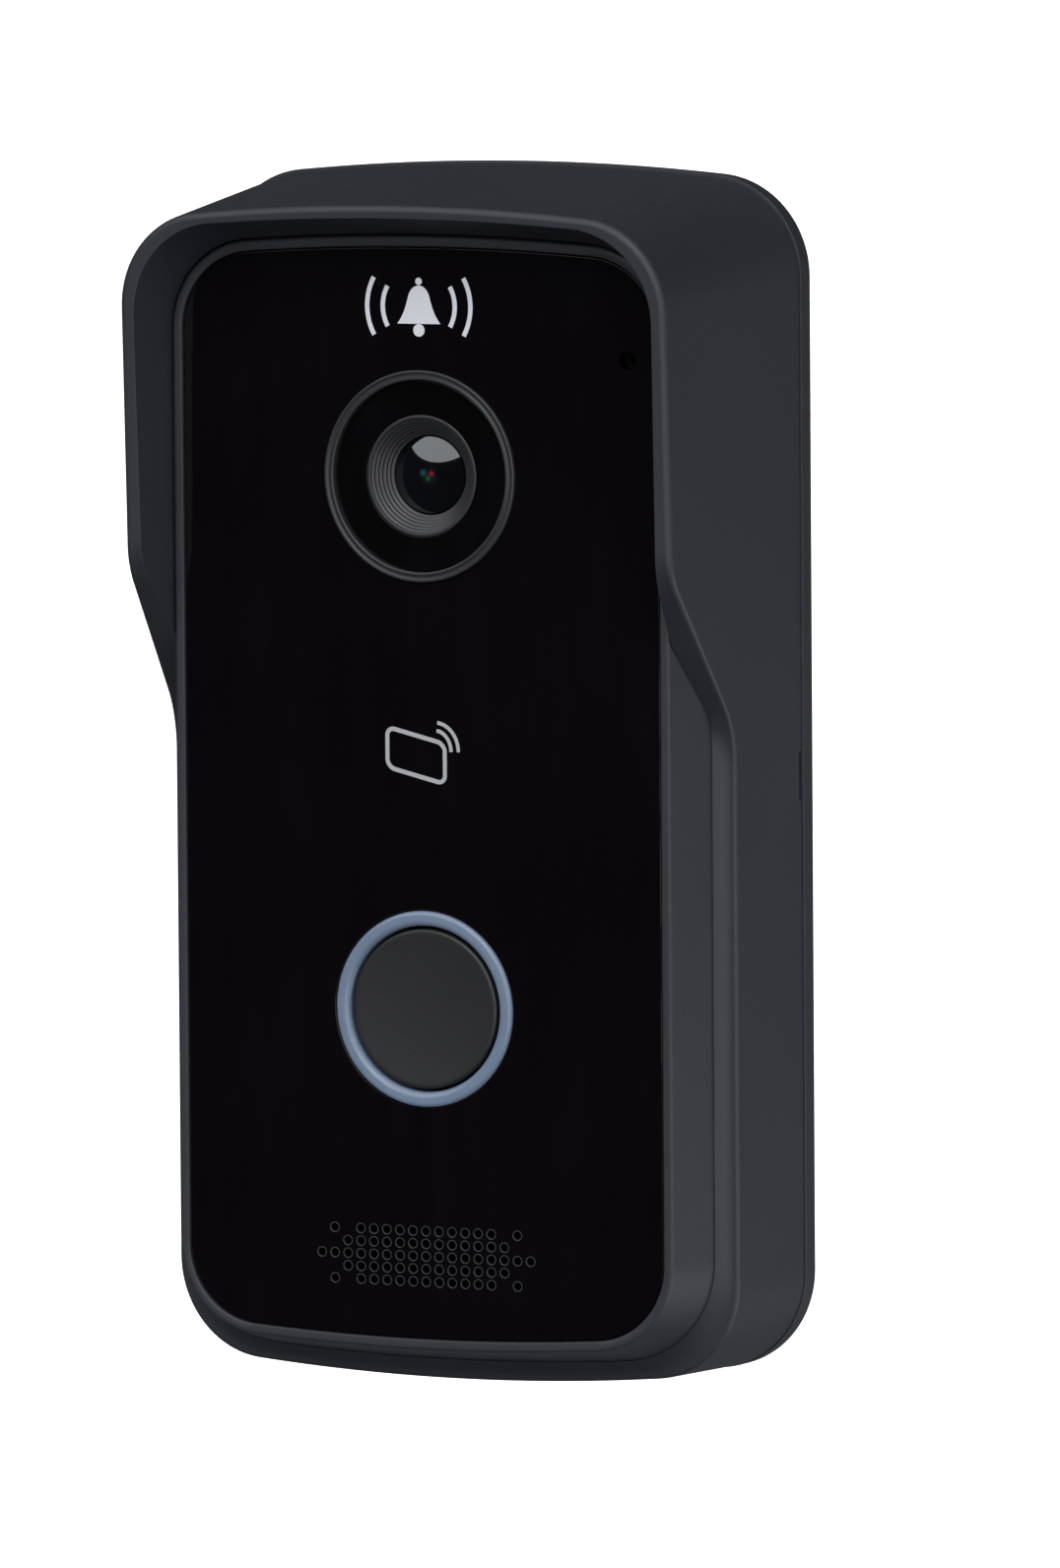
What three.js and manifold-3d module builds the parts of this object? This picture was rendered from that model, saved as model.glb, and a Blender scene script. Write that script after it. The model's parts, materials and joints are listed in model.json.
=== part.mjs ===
// Video doorbell: a slim wall-mounted door station with a rain visor, a camera,
// a card reader, an illuminated call button and a speaker.
//
// Frame: +Z up, +X to the right as a visitor sees it, the front faces -Y.
// The wall is the plane y = 0 and the origin is the middle of the bracket's rear face.
// "Depth" is the distance from the wall, so a point at depth d has y = -d. Millimetres.

import * as THREE from "three";
import { mergeVertices } from "three/addons/utils/BufferGeometryUtils.js";
import Module from "manifold-3d";

const wasm = await Module();
wasm.setup();

// ---------------------------------------------------------------- driving dimensions

// Whole unit
const UNIT_WIDTH = 75; // across the shell's rear edge
const UNIT_HEIGHT = 140; // over the shell's rear edge
const UNIT_CORNER = 12.4; // corner radius of the shell, seen from the front
const EDGE_BOW = 295; // radius of the gently bowed top and bottom edges
const BEZEL_DEPTH = 25.4; // front of the bezel
const LIP_DEPTH = 17.3; // front of the shell around the lower half
const VISOR_DEPTH = 33.1; // front of the visor at its top
const SIDE_DRAFT = 0.085; // half width lost for each millimetre of depth
const TOP_DRAFT = 0.118; // height lost at the top for each millimetre of depth
const BOTTOM_DRAFT = 0.016; // height lost at the bottom for each millimetre of depth

// Visor: its rim leans back going down, then sweeps back to the lip
const RIM_LEAN = 0.039; // depth lost for each millimetre down the rim
const RIM_LENGTH = 45.7; // from the top edge down to the sweep
const SWEEP_HEIGHT = 18.3; // height over which the sweep runs back to the lip
const SWEEP_UPPER_RADIUS = 8;
const SWEEP_LOWER_RADIUS = 12;
const RIM_THICKNESS = 1.5; // of the visor's side wall at the rim
const RIM_TOP_THICKNESS = 1.6; // of the visor's roof at the rim

// Shell walls around the unit
const SHELL_SIDE = 5.65;
const SHELL_TOP = 7.45;
const SHELL_BOTTOM = 4.32;
const LEDGE_THICKNESS = 0.8; // rear ledge that the unit seats against
const LEDGE_WIDTH = 2;
const PRY_SLOT_LENGTH = 5.6;
const PRY_SLOT_HEIGHT = 0.6;

// Housing, bezel and front panel
const HOUSING_CORNER = 10.2;
const HOUSING_WALL = 1.8;
const BEZEL_RIM = 1.15; // width of the bezel's front edge around the panel
const PANEL_RECESS = 0.3; // panel face below the bezel's edge
const PANEL_THICKNESS = 2;

// Rear parts
const BRACKET_THICKNESS = 2.2;
const COVER_THICKNESS = 2;
const SEAL_SIZE = 1.2;
const REAR_SPACE = 4.8; // between the rear cover and the main board
const BOARD_THICKNESS = 1.6;
const THIN_BOARD = 1.2; // camera, button and infrared boards

// Places on the front, from the edges of the housing
const CAMERA_FROM_TOP = 27.4;
const BUTTON_FROM_BOTTOM = 39.2;
const GRILLE_FROM_BOTTOM = 10.7;
const SPEAKER_FROM_BOTTOM = 12.2;
const MIC_FROM_TOP = 13.8;
const MIC_FROM_SIDE = 5.2;

// Camera
const TRIM_DIAMETER = 24.3;
const TRIM_WIDTH = 1.15;
const TRIM_PROUD = 0.4;
const WINDOW_RECESS = 0.3;
const WINDOW_THICKNESS = 1.5;
const CONE_DIAMETER = 14;
const CONE_DEPTH = 3;
const CONE_STEPS = 4;
const LENS_OPENING = 9;
const BARREL_DIAMETER = 11.8;
const HOLDER_BASE = 1.9; // thickness of the lens holder's foot
const IR_BOARD_RISE = 1.2; // infrared board's face, from the rear of the housing's wall
const HOLDER_SIZE = 15;
const CAMERA_BOARD_SIZE = 20;
const IR_LED_SIZE = 2.2;
const IR_LED_COUNT = 4;

// Call button
const LIGHT_RING_DIAMETER = 22.6;
const LIGHT_RING_WIDTH = 1.75;
const LIGHT_RING_PROUD = 0.25;
const LIGHT_FLANGE = 1.2;
const CAP_CLEARANCE = 0.35;
const CAP_TRAVEL = 0.6;
const CAP_WALL = 1.5;
const CAP_CROWN = 0.35; // how far the cap's face domes out
const CAP_FLANGE_DEPTH = 7.1; // from the cap's face to the rear of its flange
const BUTTON_STANDOFF = 1.5; // between the main board and the button board
const SWITCH_SIZE = 6.2;
const SWITCH_HEIGHT = 1.5;
const STEM_DIAMETER = 3.2;
const STEM_SHOWING = 0.8;
const RING_LED_COUNT = 4;

// Speaker and microphone
const HOLE_DIAMETER = 1.2;
const HOLE_PITCH_X = 1.675;
const HOLE_PITCH_Z = 1.462;
const SPEAKER_DIAMETER = 20;
const SPEAKER_HEIGHT = 6.4;
const MIC_PORT = 2.3;
const MIC_DIAMETER = 4.6;
const MIC_BOOT_WALL = 1;
const CLOTH_THICKNESS = 0.3;
const GRILLE_BORDER = 0.6; // window in the housing beyond the outermost holes
const CLOTH_BORDER = 1; // cloth beyond the window in the housing

// Boards in the housing: margins are from the inside of its side walls
const MAIN_BOARD_MARGIN = 1.2;
const MAIN_BOARD_FROM_TOP = 10.8;
const MAIN_BOARD_FROM_BOTTOM = 12.15;
const READER_MARGIN = 6.8;
const READER_BORDER = 1.2; // bare board around the coil
const COIL_TRACK = 2.2;
const ANTENNA_MARGIN = 14.8;
const ANTENNA_HEIGHT = 7;

// Parts on the main board, placed from the point halfway between camera and button
const PROCESSOR = { size: 14, height: 1.2, x: -8 };
const SHIELD_CAN = { width: 14, height: 12, thickness: 2.2, x: 10 };
const CONNECTOR = { width: 9, height: 6, thickness: 2.5, margin: 8, drop: 14 };

// Posts and the button's well in the housing
const WELL_ROOM = 1.9; // between the light ring and the well round it
const WELL_WALL = 1.2;
const BOARD_POST = { radius: 2.8, margin: 4.8, aboveCamera: 4.8, belowButton: 19.3 };
const COVER_POST = { radius: 3, margin: 6, fromTop: 6.6, fromBottom: 7.95 };

// Tamper switch: its plunger rests against the wall
const TAMPER_MARGIN = 11.8;
const PLUNGER_TIP = 3;
const PLUNGER_BODY = 5.6;
const PLUNGER_WALL = 0.7;
const PLUNGER_TRAVEL = 1.2;

// Bracket features, placed from the bracket's middle
const CABLE_WINDOW = { width: 30, height: 30, z: -29 };
const WALL_HOLE = { radius: 2.3, sinkRadius: 4.2, x: 20, z: 50 };
const HOOK = { width: 8, thickness: 1.6, rise: 2.4, reach: 4.4, x: 14, z: 30 };
const TERMINAL = { width: 18, height: 8.2, entry: 2.2, ways: 5, z: -20 };
const GROMMET = { radius: 5.5, hole: 3.3, z: -37 };
const TAMPER_Z = 10;
const TAB = { width: 12, thickness: 1.3, reach: 6.8, roof: 0.5 };

// Screws
const SCREW = { shank: 1.3, head: 2.6, headHeight: 1.1, length: 7 };
const BOARD_SCREW = { shank: 1.1, head: 2.2, headHeight: 1.3, length: 5 };
const LOCK_SCREW = { shank: 1.3, head: 2.5, headHeight: 1.3 };

// Fits
const GAP = 0.3; // between pieces that would touch
const SOLDER = 0.1; // between a circuit board and the parts on it
const SLIP = 0.25; // around the housing in the shell, and the shell's seam
const PANEL_GAP = 0.15; // around the panel in its recess
const RUN = 0.15; // around a piece that slides
const ROUND = 28; // sides of a visible circle
const SMALL_ROUND = 12; // sides of a small or hidden circle

// ---------------------------------------------------------------- derived levels and places

const shellRear = BRACKET_THICKNESS + GAP;
const coverRear = shellRear + LEDGE_THICKNESS + GAP;
const coverFront = coverRear + COVER_THICKNESS;
const housingRear = coverFront + GAP;
const sealFront = housingRear + SEAL_SIZE;
const boardRear = coverFront + REAR_SPACE;
const boardFront = boardRear + BOARD_THICKNESS;
const panelFront = BEZEL_DEPTH - PANEL_RECESS;
const panelRear = panelFront - PANEL_THICKNESS;
const wallFront = panelRear - GAP;
const wallRear = wallFront - HOUSING_WALL;

const halfWidth = UNIT_WIDTH / 2;
const halfHeight = UNIT_HEIGHT / 2;
const pocketHalf = halfWidth - SHELL_SIDE;
const pocketTop = halfHeight - SHELL_TOP;
const pocketBottom = -halfHeight + SHELL_BOTTOM;
const unitHalf = pocketHalf - SLIP;
const unitTop = pocketTop - SLIP;
const unitBottom = pocketBottom + SLIP;
const innerHalf = unitHalf - HOUSING_WALL;

const cameraZ = unitTop - CAMERA_FROM_TOP;
const buttonZ = unitBottom + BUTTON_FROM_BOTTOM;
const grilleZ = unitBottom + GRILLE_FROM_BOTTOM;
const speakerZ = unitBottom + SPEAKER_FROM_BOTTOM;
const micX = unitHalf - MIC_FROM_SIDE;
const micZ = unitTop - MIC_FROM_TOP;
const tamperX = -(innerHalf - TAMPER_MARGIN);

const trimRadius = TRIM_DIAMETER / 2;
const trimInner = trimRadius - TRIM_WIDTH;
const lightRadius = LIGHT_RING_DIAMETER / 2;
const lightInner = lightRadius - LIGHT_RING_WIDTH;
const capRadius = lightInner - CAP_CLEARANCE;
const wellRadius = lightRadius + WELL_ROOM;

// Posts of the housing: one set carries the main board, the other takes the cover's screws
const boardPostX = innerHalf - BOARD_POST.margin;
const boardPostsZ = [cameraZ + BOARD_POST.aboveCamera, buttonZ - BOARD_POST.belowButton];
const boardPosts = boardPostsZ.flatMap((z) => [
  [-boardPostX, z],
  [boardPostX, z],
]);
const coverPostX = innerHalf - COVER_POST.margin;
const coverPostsZ = [unitTop - COVER_POST.fromTop, unitBottom + COVER_POST.fromBottom];
const coverPosts = coverPostsZ.flatMap((z) => [
  [-coverPostX, z],
  [coverPostX, z],
]);

// ---------------------------------------------------------------- shape helpers

// A geometry's closed surface as a solid that can be joined and cut.
function toSolid(geometry) {
  const bare = geometry.index ? geometry.toNonIndexed() : geometry.clone();
  bare.deleteAttribute("normal");
  bare.deleteAttribute("uv");
  const merged = mergeVertices(bare, 1e-4);
  const index = merged.index.array;
  const triVerts = [];
  for (let i = 0; i < index.length; i += 3) {
    const [a, b, c] = index.slice(i, i + 3);
    if (a !== b && b !== c && c !== a) triVerts.push(a, b, c);
  }
  return new wasm.Manifold(
    new wasm.Mesh({
      numProp: 3,
      vertProperties: merged.attributes.position.array,
      triVerts: new Uint32Array(triVerts),
    }),
  );
}

function toGeometry(solid) {
  const mesh = solid.getMesh();
  const indexed = new THREE.BufferGeometry();
  indexed.setAttribute("position", new THREE.BufferAttribute(mesh.vertProperties, 3));
  indexed.setIndex(new THREE.BufferAttribute(mesh.triVerts, 1));
  const flat = indexed.toNonIndexed();
  flat.computeVertexNormals();
  return flat;
}

const onCircle = (radius, angle) => [radius * Math.cos(angle), radius * Math.sin(angle)];

const join = (...solids) => solids.reduce((a, b) => a.add(b));
const cut = (solid, ...tools) => tools.reduce((a, b) => a.subtract(b), solid);

// An outline drawn in X and Z, extruded from one depth to another.
function slab(shape, rear, front, { segments = 4, warp = null } = {}) {
  const options = { depth: front - rear, bevelEnabled: false, curveSegments: segments };
  const geometry = new THREE.ExtrudeGeometry(shape, options);
  geometry.translate(0, 0, rear);
  if (warp) warpVertices(geometry, warp);
  geometry.rotateX(Math.PI / 2);
  return toSolid(geometry);
}

// Moves each vertex of an upright extrusion: warp(x, z, depth) gives the new x and z.
function warpVertices(geometry, warp) {
  const position = geometry.attributes.position;
  for (let i = 0; i < position.count; i += 1) {
    const depth = position.getZ(i);
    const [x, z] = warp(position.getX(i), position.getY(i), depth);
    position.setXYZ(i, x, z, depth);
  }
}

// A rounded rectangle whose top and bottom edges are long arcs of radius EDGE_BOW. Each corner
// arc touches the straight side and the bowed edge.
function bowedOutline(half, top, bottom, corner) {
  const reach = half - corner;
  const rise = Math.sqrt((EDGE_BOW - corner) ** 2 - reach ** 2);
  const angle = Math.atan2(rise, reach);
  const upper = top - EDGE_BOW;
  const lower = bottom + EDGE_BOW;
  const shape = new THREE.Shape();
  shape.absarc(reach, upper + rise, corner, 0, angle);
  shape.absarc(0, upper, EDGE_BOW, angle, Math.PI - angle);
  shape.absarc(-reach, upper + rise, corner, Math.PI - angle, Math.PI);
  shape.absarc(-reach, lower - rise, corner, Math.PI, Math.PI + angle);
  shape.absarc(0, lower, EDGE_BOW, Math.PI + angle, 2 * Math.PI - angle);
  shape.absarc(reach, lower - rise, corner, 2 * Math.PI - angle, 2 * Math.PI);
  shape.closePath();
  return shape;
}

// The housing's outline, moved in by an inset.
const unitOutline = (inset) =>
  bowedOutline(unitHalf - inset, unitTop - inset, unitBottom + inset, HOUSING_CORNER - inset);

function roundedRectangle(width, height, corner, x = 0, z = 0) {
  const reachX = width / 2 - corner;
  const reachZ = height / 2 - corner;
  const shape = new THREE.Shape();
  shape.absarc(x + reachX, z + reachZ, corner, 0, Math.PI / 2);
  shape.absarc(x - reachX, z + reachZ, corner, Math.PI / 2, Math.PI);
  shape.absarc(x - reachX, z - reachZ, corner, Math.PI, 1.5 * Math.PI);
  shape.absarc(x + reachX, z - reachZ, corner, 1.5 * Math.PI, 2 * Math.PI);
  shape.closePath();
  return shape;
}

function block(width, height, rear, front, x = 0, z = 0) {
  const geometry = new THREE.BoxGeometry(width, front - rear, height);
  geometry.translate(x, -(rear + front) / 2, z);
  return toSolid(geometry);
}

function disc(radius, rear, front, x = 0, z = 0, sides = SMALL_ROUND) {
  const geometry = new THREE.CylinderGeometry(radius, radius, front - rear, sides);
  geometry.translate(x, -(rear + front) / 2, z);
  return toSolid(geometry);
}

// Turns a profile of [radius, depth] points about the Y axis. The profile runs from axis to
// axis, or is closed on itself when it never meets the axis.
function turned(profile, sides = ROUND) {
  const onAxis = profile[0][0] === 0 && profile[profile.length - 1][0] === 0;
  const loop = onAxis ? profile : [...profile, profile[0]];
  const area = loop.reduce((sum, [r, d], i) => {
    const [nextR, nextD] = loop[(i + 1) % loop.length];
    return sum + r * nextD - nextR * d;
  }, 0);
  const points = loop.map(([r, d]) => new THREE.Vector2(r, d));
  if (area < 0) points.reverse();
  const geometry = new THREE.LatheGeometry(points, sides);
  geometry.rotateX(Math.PI);
  return toSolid(geometry);
}

const ring = (outer, inner, rear, front, sides = ROUND) =>
  turned([[inner, rear], [outer, rear], [outer, front], [inner, front]], sides);

// ---------------------------------------------------------------- scene helpers

const finishes = {
  shellPlastic: { color: 0x24252a, roughness: 0.62, metalness: 0 },
  panelGloss: { color: 0x050507, roughness: 0.08, metalness: 0 },
  capPlastic: { color: 0x2b2c2e, roughness: 0.55, metalness: 0 },
  lightGuide: { color: 0x74849c, roughness: 0.3, metalness: 0 },
  trimPlastic: { color: 0x1a1a1c, roughness: 0.35, metalness: 0 },
  lensGlass: { color: 0x202a33, roughness: 0.03, metalness: 0 },
  anodised: { color: 0x151516, roughness: 0.4, metalness: 0.6 },
  board: { color: 0x0f5132, roughness: 0.5, metalness: 0 },
  chip: { color: 0x151517, roughness: 0.6, metalness: 0 },
  copper: { color: 0xb87333, roughness: 0.35, metalness: 1 },
  steel: { color: 0xb5b8bc, roughness: 0.3, metalness: 1 },
  rubber: { color: 0x1b1b1b, roughness: 0.9, metalness: 0 },
  paper: { color: 0x33312e, roughness: 0.95, metalness: 0 },
  terminalGreen: { color: 0x1f7a3a, roughness: 0.5, metalness: 0 },
  connectorWhite: { color: 0xe6e2d8, roughness: 0.5, metalness: 0 },
  ledClear: { color: 0xe8e4c8, roughness: 0.2, metalness: 0 },
};

const doorbell = new THREE.Group();
doorbell.name = "video_doorbell";

function addPart(group, name, solid, finish, x = 0, z = 0) {
  const material = new THREE.MeshStandardMaterial(finishes[finish]);
  const mesh = new THREE.Mesh(toGeometry(solid), material);
  mesh.name = name;
  mesh.position.set(x, 0, z);
  group.add(mesh);
}

function subAssembly(x, z) {
  const group = new THREE.Group();
  group.position.set(x, 0, z);
  doorbell.add(group);
  return group;
}

// ---------------------------------------------------------------- bracket and lock screw

const tabTop = pocketBottom - TAB.roof;
const lockDepth = BRACKET_THICKNESS + TAB.reach / 2 + 0.6;
const lockHeadBottom = -halfHeight + 0.45;

// A round piece standing upright on the lock screw's axis.
function upright(radius, bottom, top) {
  const geometry = new THREE.CylinderGeometry(radius, radius, top - bottom, SMALL_ROUND);
  geometry.rotateX(Math.PI / 2);
  geometry.translate(0, -lockDepth, (bottom + top) / 2);
  return toSolid(geometry);
}

function wallBracket() {
  const plate = slab(bowedOutline(halfWidth, halfHeight, -halfHeight, UNIT_CORNER), 0, BRACKET_THICKNESS);
  const { width, height, z } = CABLE_WINDOW;
  const hookFront = BRACKET_THICKNESS + HOOK.reach;
  const hooks = [-1, 1].map((side) =>
    join(
      block(HOOK.width, HOOK.thickness, 1, hookFront, side * HOOK.x, HOOK.z),
      block(
        HOOK.width,
        HOOK.thickness + HOOK.rise,
        hookFront - HOOK.thickness,
        hookFront,
        side * HOOK.x,
        HOOK.z + HOOK.rise / 2,
      ),
    ),
  );
  const tabMiddle = tabTop - TAB.thickness / 2;
  const tab = block(TAB.width, TAB.thickness, 1, BRACKET_THICKNESS + TAB.reach, 0, tabMiddle);
  const holes = [-1, 1].flatMap((sideX) =>
    [-1, 1].map((sideZ) => {
      const sink = turned([
        [0, -1],
        [WALL_HOLE.radius, -1],
        [WALL_HOLE.radius, BRACKET_THICKNESS - WALL_HOLE.sinkRadius + WALL_HOLE.radius],
        [WALL_HOLE.sinkRadius, BRACKET_THICKNESS],
        [WALL_HOLE.sinkRadius, BRACKET_THICKNESS + 1],
        [0, BRACKET_THICKNESS + 1],
      ], SMALL_ROUND);
      return sink.translate([sideX * WALL_HOLE.x, 0, sideZ * WALL_HOLE.z]);
    }),
  );
  return cut(
    join(plate, ...hooks, tab),
    slab(roundedRectangle(width, height, 4, 0, z), -1, BRACKET_THICKNESS + 1),
    disc(PLUNGER_TIP / 2 + GAP, -1, BRACKET_THICKNESS + 1, tamperX, TAMPER_Z),
    upright(LOCK_SCREW.shank + RUN, tabTop - TAB.thickness - 1, tabTop + 1),
    ...holes,
  );
}

function lockScrew() {
  const headTop = lockHeadBottom + LOCK_SCREW.headHeight;
  const tip = tabTop + 0.2;
  const socket = new THREE.CylinderGeometry(0.9, 0.9, 1.6, 6);
  socket.rotateX(Math.PI / 2);
  socket.translate(0, -lockDepth, lockHeadBottom);
  return cut(
    join(
      upright(LOCK_SCREW.head, lockHeadBottom, headTop),
      upright(LOCK_SCREW.shank, headTop - 0.5, tip),
    ),
    toSolid(socket),
  );
}

// ---------------------------------------------------------------- shell and visor

// Depth of the visor's rim at a height.
const rimDepth = (z) => VISOR_DEPTH - RIM_LEAN * (halfHeight - z);

// The side view that the shell is trimmed to: the lip, the sweep and the visor's rim, with the
// sweep's two corners rounded. Drawn with x as depth and y as height.
function sideProfile() {
  const margin = 5;
  const sweepTop = halfHeight - RIM_LENGTH;
  const lower = new THREE.Vector2(LIP_DEPTH, sweepTop - SWEEP_HEIGHT);
  const upper = new THREE.Vector2(rimDepth(sweepTop), sweepTop);
  const shape = new THREE.Shape();
  shape.moveTo(-margin, -halfHeight - margin);
  shape.lineTo(LIP_DEPTH, -halfHeight - margin);
  roundCorner(shape, new THREE.Vector2(LIP_DEPTH, -halfHeight), lower, upper, SWEEP_LOWER_RADIUS);
  const rimTop = new THREE.Vector2(rimDepth(halfHeight + margin), halfHeight + margin);
  roundCorner(shape, lower, upper, rimTop, SWEEP_UPPER_RADIUS);
  shape.lineTo(rimTop.x, rimTop.y);
  shape.lineTo(-margin, halfHeight + margin);
  shape.closePath();
  return shape;
}

// Adds to a path the arc that rounds the corner between two straight runs.
function roundCorner(path, before, corner, after, radius) {
  const back = before.clone().sub(corner).normalize();
  const on = after.clone().sub(corner).normalize();
  const halfAngle = Math.acos(back.dot(on)) / 2;
  const centre = corner.clone().addScaledVector(
    back.clone().add(on).normalize(),
    radius / Math.sin(halfAngle),
  );
  const start = corner.clone().addScaledVector(back, radius / Math.tan(halfAngle)).sub(centre);
  const end = corner.clone().addScaledVector(on, radius / Math.tan(halfAngle)).sub(centre);
  const clockwise = back.x * on.y - back.y * on.x > 0;
  path.absarc(centre.x, centre.y, radius, start.angle(), end.angle(), clockwise);
}

// Draws the shell in towards the front: the sides, the top and the bottom each by their draft.
function shellDraft(x, z, depth) {
  const draft = z > 0 ? TOP_DRAFT : BOTTOM_DRAFT;
  return [
    x * (1 - (SIDE_DRAFT * depth) / halfWidth),
    z * (1 - (draft * depth) / halfHeight),
  ];
}

// Opens the visor's inside from the pocket's size at the bezel to a thin rim at the front.
function visorFlare(x, z, depth) {
  const share = (depth - BEZEL_DEPTH) / (VISOR_DEPTH - BEZEL_DEPTH);
  const [outerX, outerZ] = shellDraft(halfWidth, halfHeight, VISOR_DEPTH);
  const rimHalf = outerX - RIM_THICKNESS;
  const rimTop = outerZ - RIM_TOP_THICKNESS;
  return [
    x * (1 + share * (rimHalf / pocketHalf - 1)),
    z > 0 ? z * (1 + share * (rimTop / pocketTop - 1)) : z,
  ];
}

function outerShell() {
  const outline = bowedOutline(halfWidth, halfHeight, -halfHeight, UNIT_CORNER);
  const past = VISOR_DEPTH + 2;
  const body = slab(outline, shellRear, past, { warp: shellDraft });
  const side = new THREE.ExtrudeGeometry(sideProfile(), {
    depth: UNIT_WIDTH + 4,
    bevelEnabled: false,
    curveSegments: 8,
  });
  // The profile's x becomes depth, its y stays height, and its extrusion runs along -X.
  side.translate(0, 0, -UNIT_WIDTH / 2 - 2);
  const across = new THREE.Vector3(0, -1, 0);
  const up = new THREE.Vector3(0, 0, 1);
  side.applyMatrix4(new THREE.Matrix4().makeBasis(across, up, new THREE.Vector3(-1, 0, 0)));
  const trimmed = body.intersect(toSolid(side));
  const corner = HOUSING_CORNER + SLIP;
  const pocketOutline = bowedOutline(pocketHalf, pocketTop, pocketBottom, corner);
  const ledgeOutline = unitOutline(LEDGE_WIDTH);
  const ledgeFront = shellRear + LEDGE_THICKNESS;
  const notchTop = pocketBottom + 1;
  const notchBottom = tabTop - TAB.thickness - GAP;
  const notchFront = BRACKET_THICKNESS + TAB.reach + GAP;
  const notchMiddle = (notchTop + notchBottom) / 2;
  const counterbore = lockHeadBottom + LOCK_SCREW.headHeight + GAP;
  const slotDepth = 4;
  return cut(
    trimmed,
    slab(pocketOutline, ledgeFront, BEZEL_DEPTH),
    slab(pocketOutline, BEZEL_DEPTH, past, { warp: visorFlare }),
    slab(ledgeOutline, shellRear - 1, ledgeFront + 1),
    // notch for the bracket's tab, open to the pocket
    block(TAB.width + 2 * GAP, notchTop - notchBottom, shellRear - 1, notchFront, 0, notchMiddle),
    upright(LOCK_SCREW.shank + GAP, -halfHeight - 1, notchBottom + 1),
    upright(LOCK_SCREW.head + GAP, -halfHeight - 1, counterbore),
    // slots at mid height to lever the unit off its bracket
    ...[-halfWidth, halfWidth].map((x) =>
      block(slotDepth, PRY_SLOT_LENGTH, shellRear - 1, shellRear + PRY_SLOT_HEIGHT, x, 0),
    ),
  );
}

// ---------------------------------------------------------------- housing and front panel

// Centres of the speaker's holes: the middle row is longest, the two outer rows have a gap
// before their last hole at each end.
function grilleHoles() {
  const rows = { 0: 8, 1: 6, 2: 5 };
  const holes = [];
  for (let row = -2; row <= 2; row += 1) {
    const reach = rows[Math.abs(row)];
    for (let column = -reach; column <= reach; column += 1) holes.push([column, row]);
    if (Math.abs(row) === 2) holes.push([-7, row], [7, row]);
  }
  return holes.map(([column, row]) => [column * HOLE_PITCH_X, grilleZ + row * HOLE_PITCH_Z]);
}

const grilleWidth = 16 * HOLE_PITCH_X + HOLE_DIAMETER + 2 * GRILLE_BORDER;
const grilleHeight = 4 * HOLE_PITCH_Z + HOLE_DIAMETER + 2 * GRILLE_BORDER;

function frontHousing() {
  const shellBody = slab(unitOutline(0), housingRear, BEZEL_DEPTH);
  const tube = (outer, inner, rear, x, z, sides = ROUND) =>
    ring(outer, inner, rear, wallRear + 0.5, sides).translate([x, 0, z]);
  const post = (radius, screw, rear) => ([x, z]) =>
    tube(radius, screw.shank + GAP, rear, x, z, SMALL_ROUND);
  const posts = [
    ...boardPosts.map(post(BOARD_POST.radius, BOARD_SCREW, boardFront + GAP)),
    ...coverPosts.map(post(COVER_POST.radius, SCREW, sealFront + GAP)),
  ];
  const well = tube(wellRadius + WELL_WALL, wellRadius, buttonBoardFront + GAP, 0, buttonZ);
  const clothRear = wallFront - 2 * GAP - CLOTH_THICKNESS;
  const clothWidth = grilleWidth + 2 * (CLOTH_BORDER + GAP);
  const clothHeight = grilleHeight + 2 * (CLOTH_BORDER + GAP);
  const hollow = cut(
    shellBody,
    slab(unitOutline(BEZEL_RIM), wallFront, BEZEL_DEPTH + 1),
    slab(unitOutline(HOUSING_WALL), housingRear - 1, wallRear),
  );
  return cut(
    join(hollow, ...posts, well),
    disc(trimInner, wallRear - 1, wallFront + 1, 0, cameraZ, ROUND),
    disc(lightRadius + PANEL_GAP, wallRear - 1, wallFront + 1, 0, buttonZ, ROUND),
    disc(MIC_PORT / 2, wallRear - 1, wallFront + 1, micX, micZ),
    block(grilleWidth, grilleHeight, wallRear - 1, wallFront + 1, 0, grilleZ),
    block(clothWidth, clothHeight, clothRear, wallFront + 1, 0, grilleZ),
  );
}

function frontPanel() {
  const past = panelFront + 1;
  const pinholes = grilleHoles().map(([x, z]) =>
    disc(HOLE_DIAMETER / 2, panelRear - 1, past, x, z, 6),
  );
  return cut(
    slab(unitOutline(BEZEL_RIM + PANEL_GAP), panelRear, panelFront),
    disc(trimRadius + PANEL_GAP, panelRear - 1, past, 0, cameraZ, ROUND),
    disc(lightRadius + PANEL_GAP, panelRear - 1, past, 0, buttonZ, ROUND),
    disc(MIC_PORT / 2, panelRear - 1, past, micX, micZ),
    ...pinholes,
  );
}

function grilleCloth() {
  const front = wallFront - GAP;
  const width = grilleWidth + 2 * CLOTH_BORDER;
  const height = grilleHeight + 2 * CLOTH_BORDER;
  return block(width, height, front - CLOTH_THICKNESS, front, 0, grilleZ);
}

// ---------------------------------------------------------------- camera

const trimFront = panelFront + TRIM_PROUD;
const windowFront = panelFront - WINDOW_RECESS;
const windowRadius = trimInner - PANEL_GAP;
const coneRadius = CONE_DIAMETER / 2;
const coneRear = windowFront - CONE_DEPTH;
const openingRadius = LENS_OPENING / 2;
const barrelFront = coneRear - GAP;
const barrelRadius = BARREL_DIAMETER / 2;
const cameraBoardRear = boardFront + 0.6;
const cameraBoardFront = cameraBoardRear + THIN_BOARD;
const holderRear = cameraBoardFront + GAP;
const holderBaseFront = holderRear + HOLDER_BASE;
const barrelRear = holderBaseFront + GAP;
const holderFront = barrelRear + (barrelFront - barrelRear) * 0.6;
const irBoardFront = wallRear + IR_BOARD_RISE;

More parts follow.
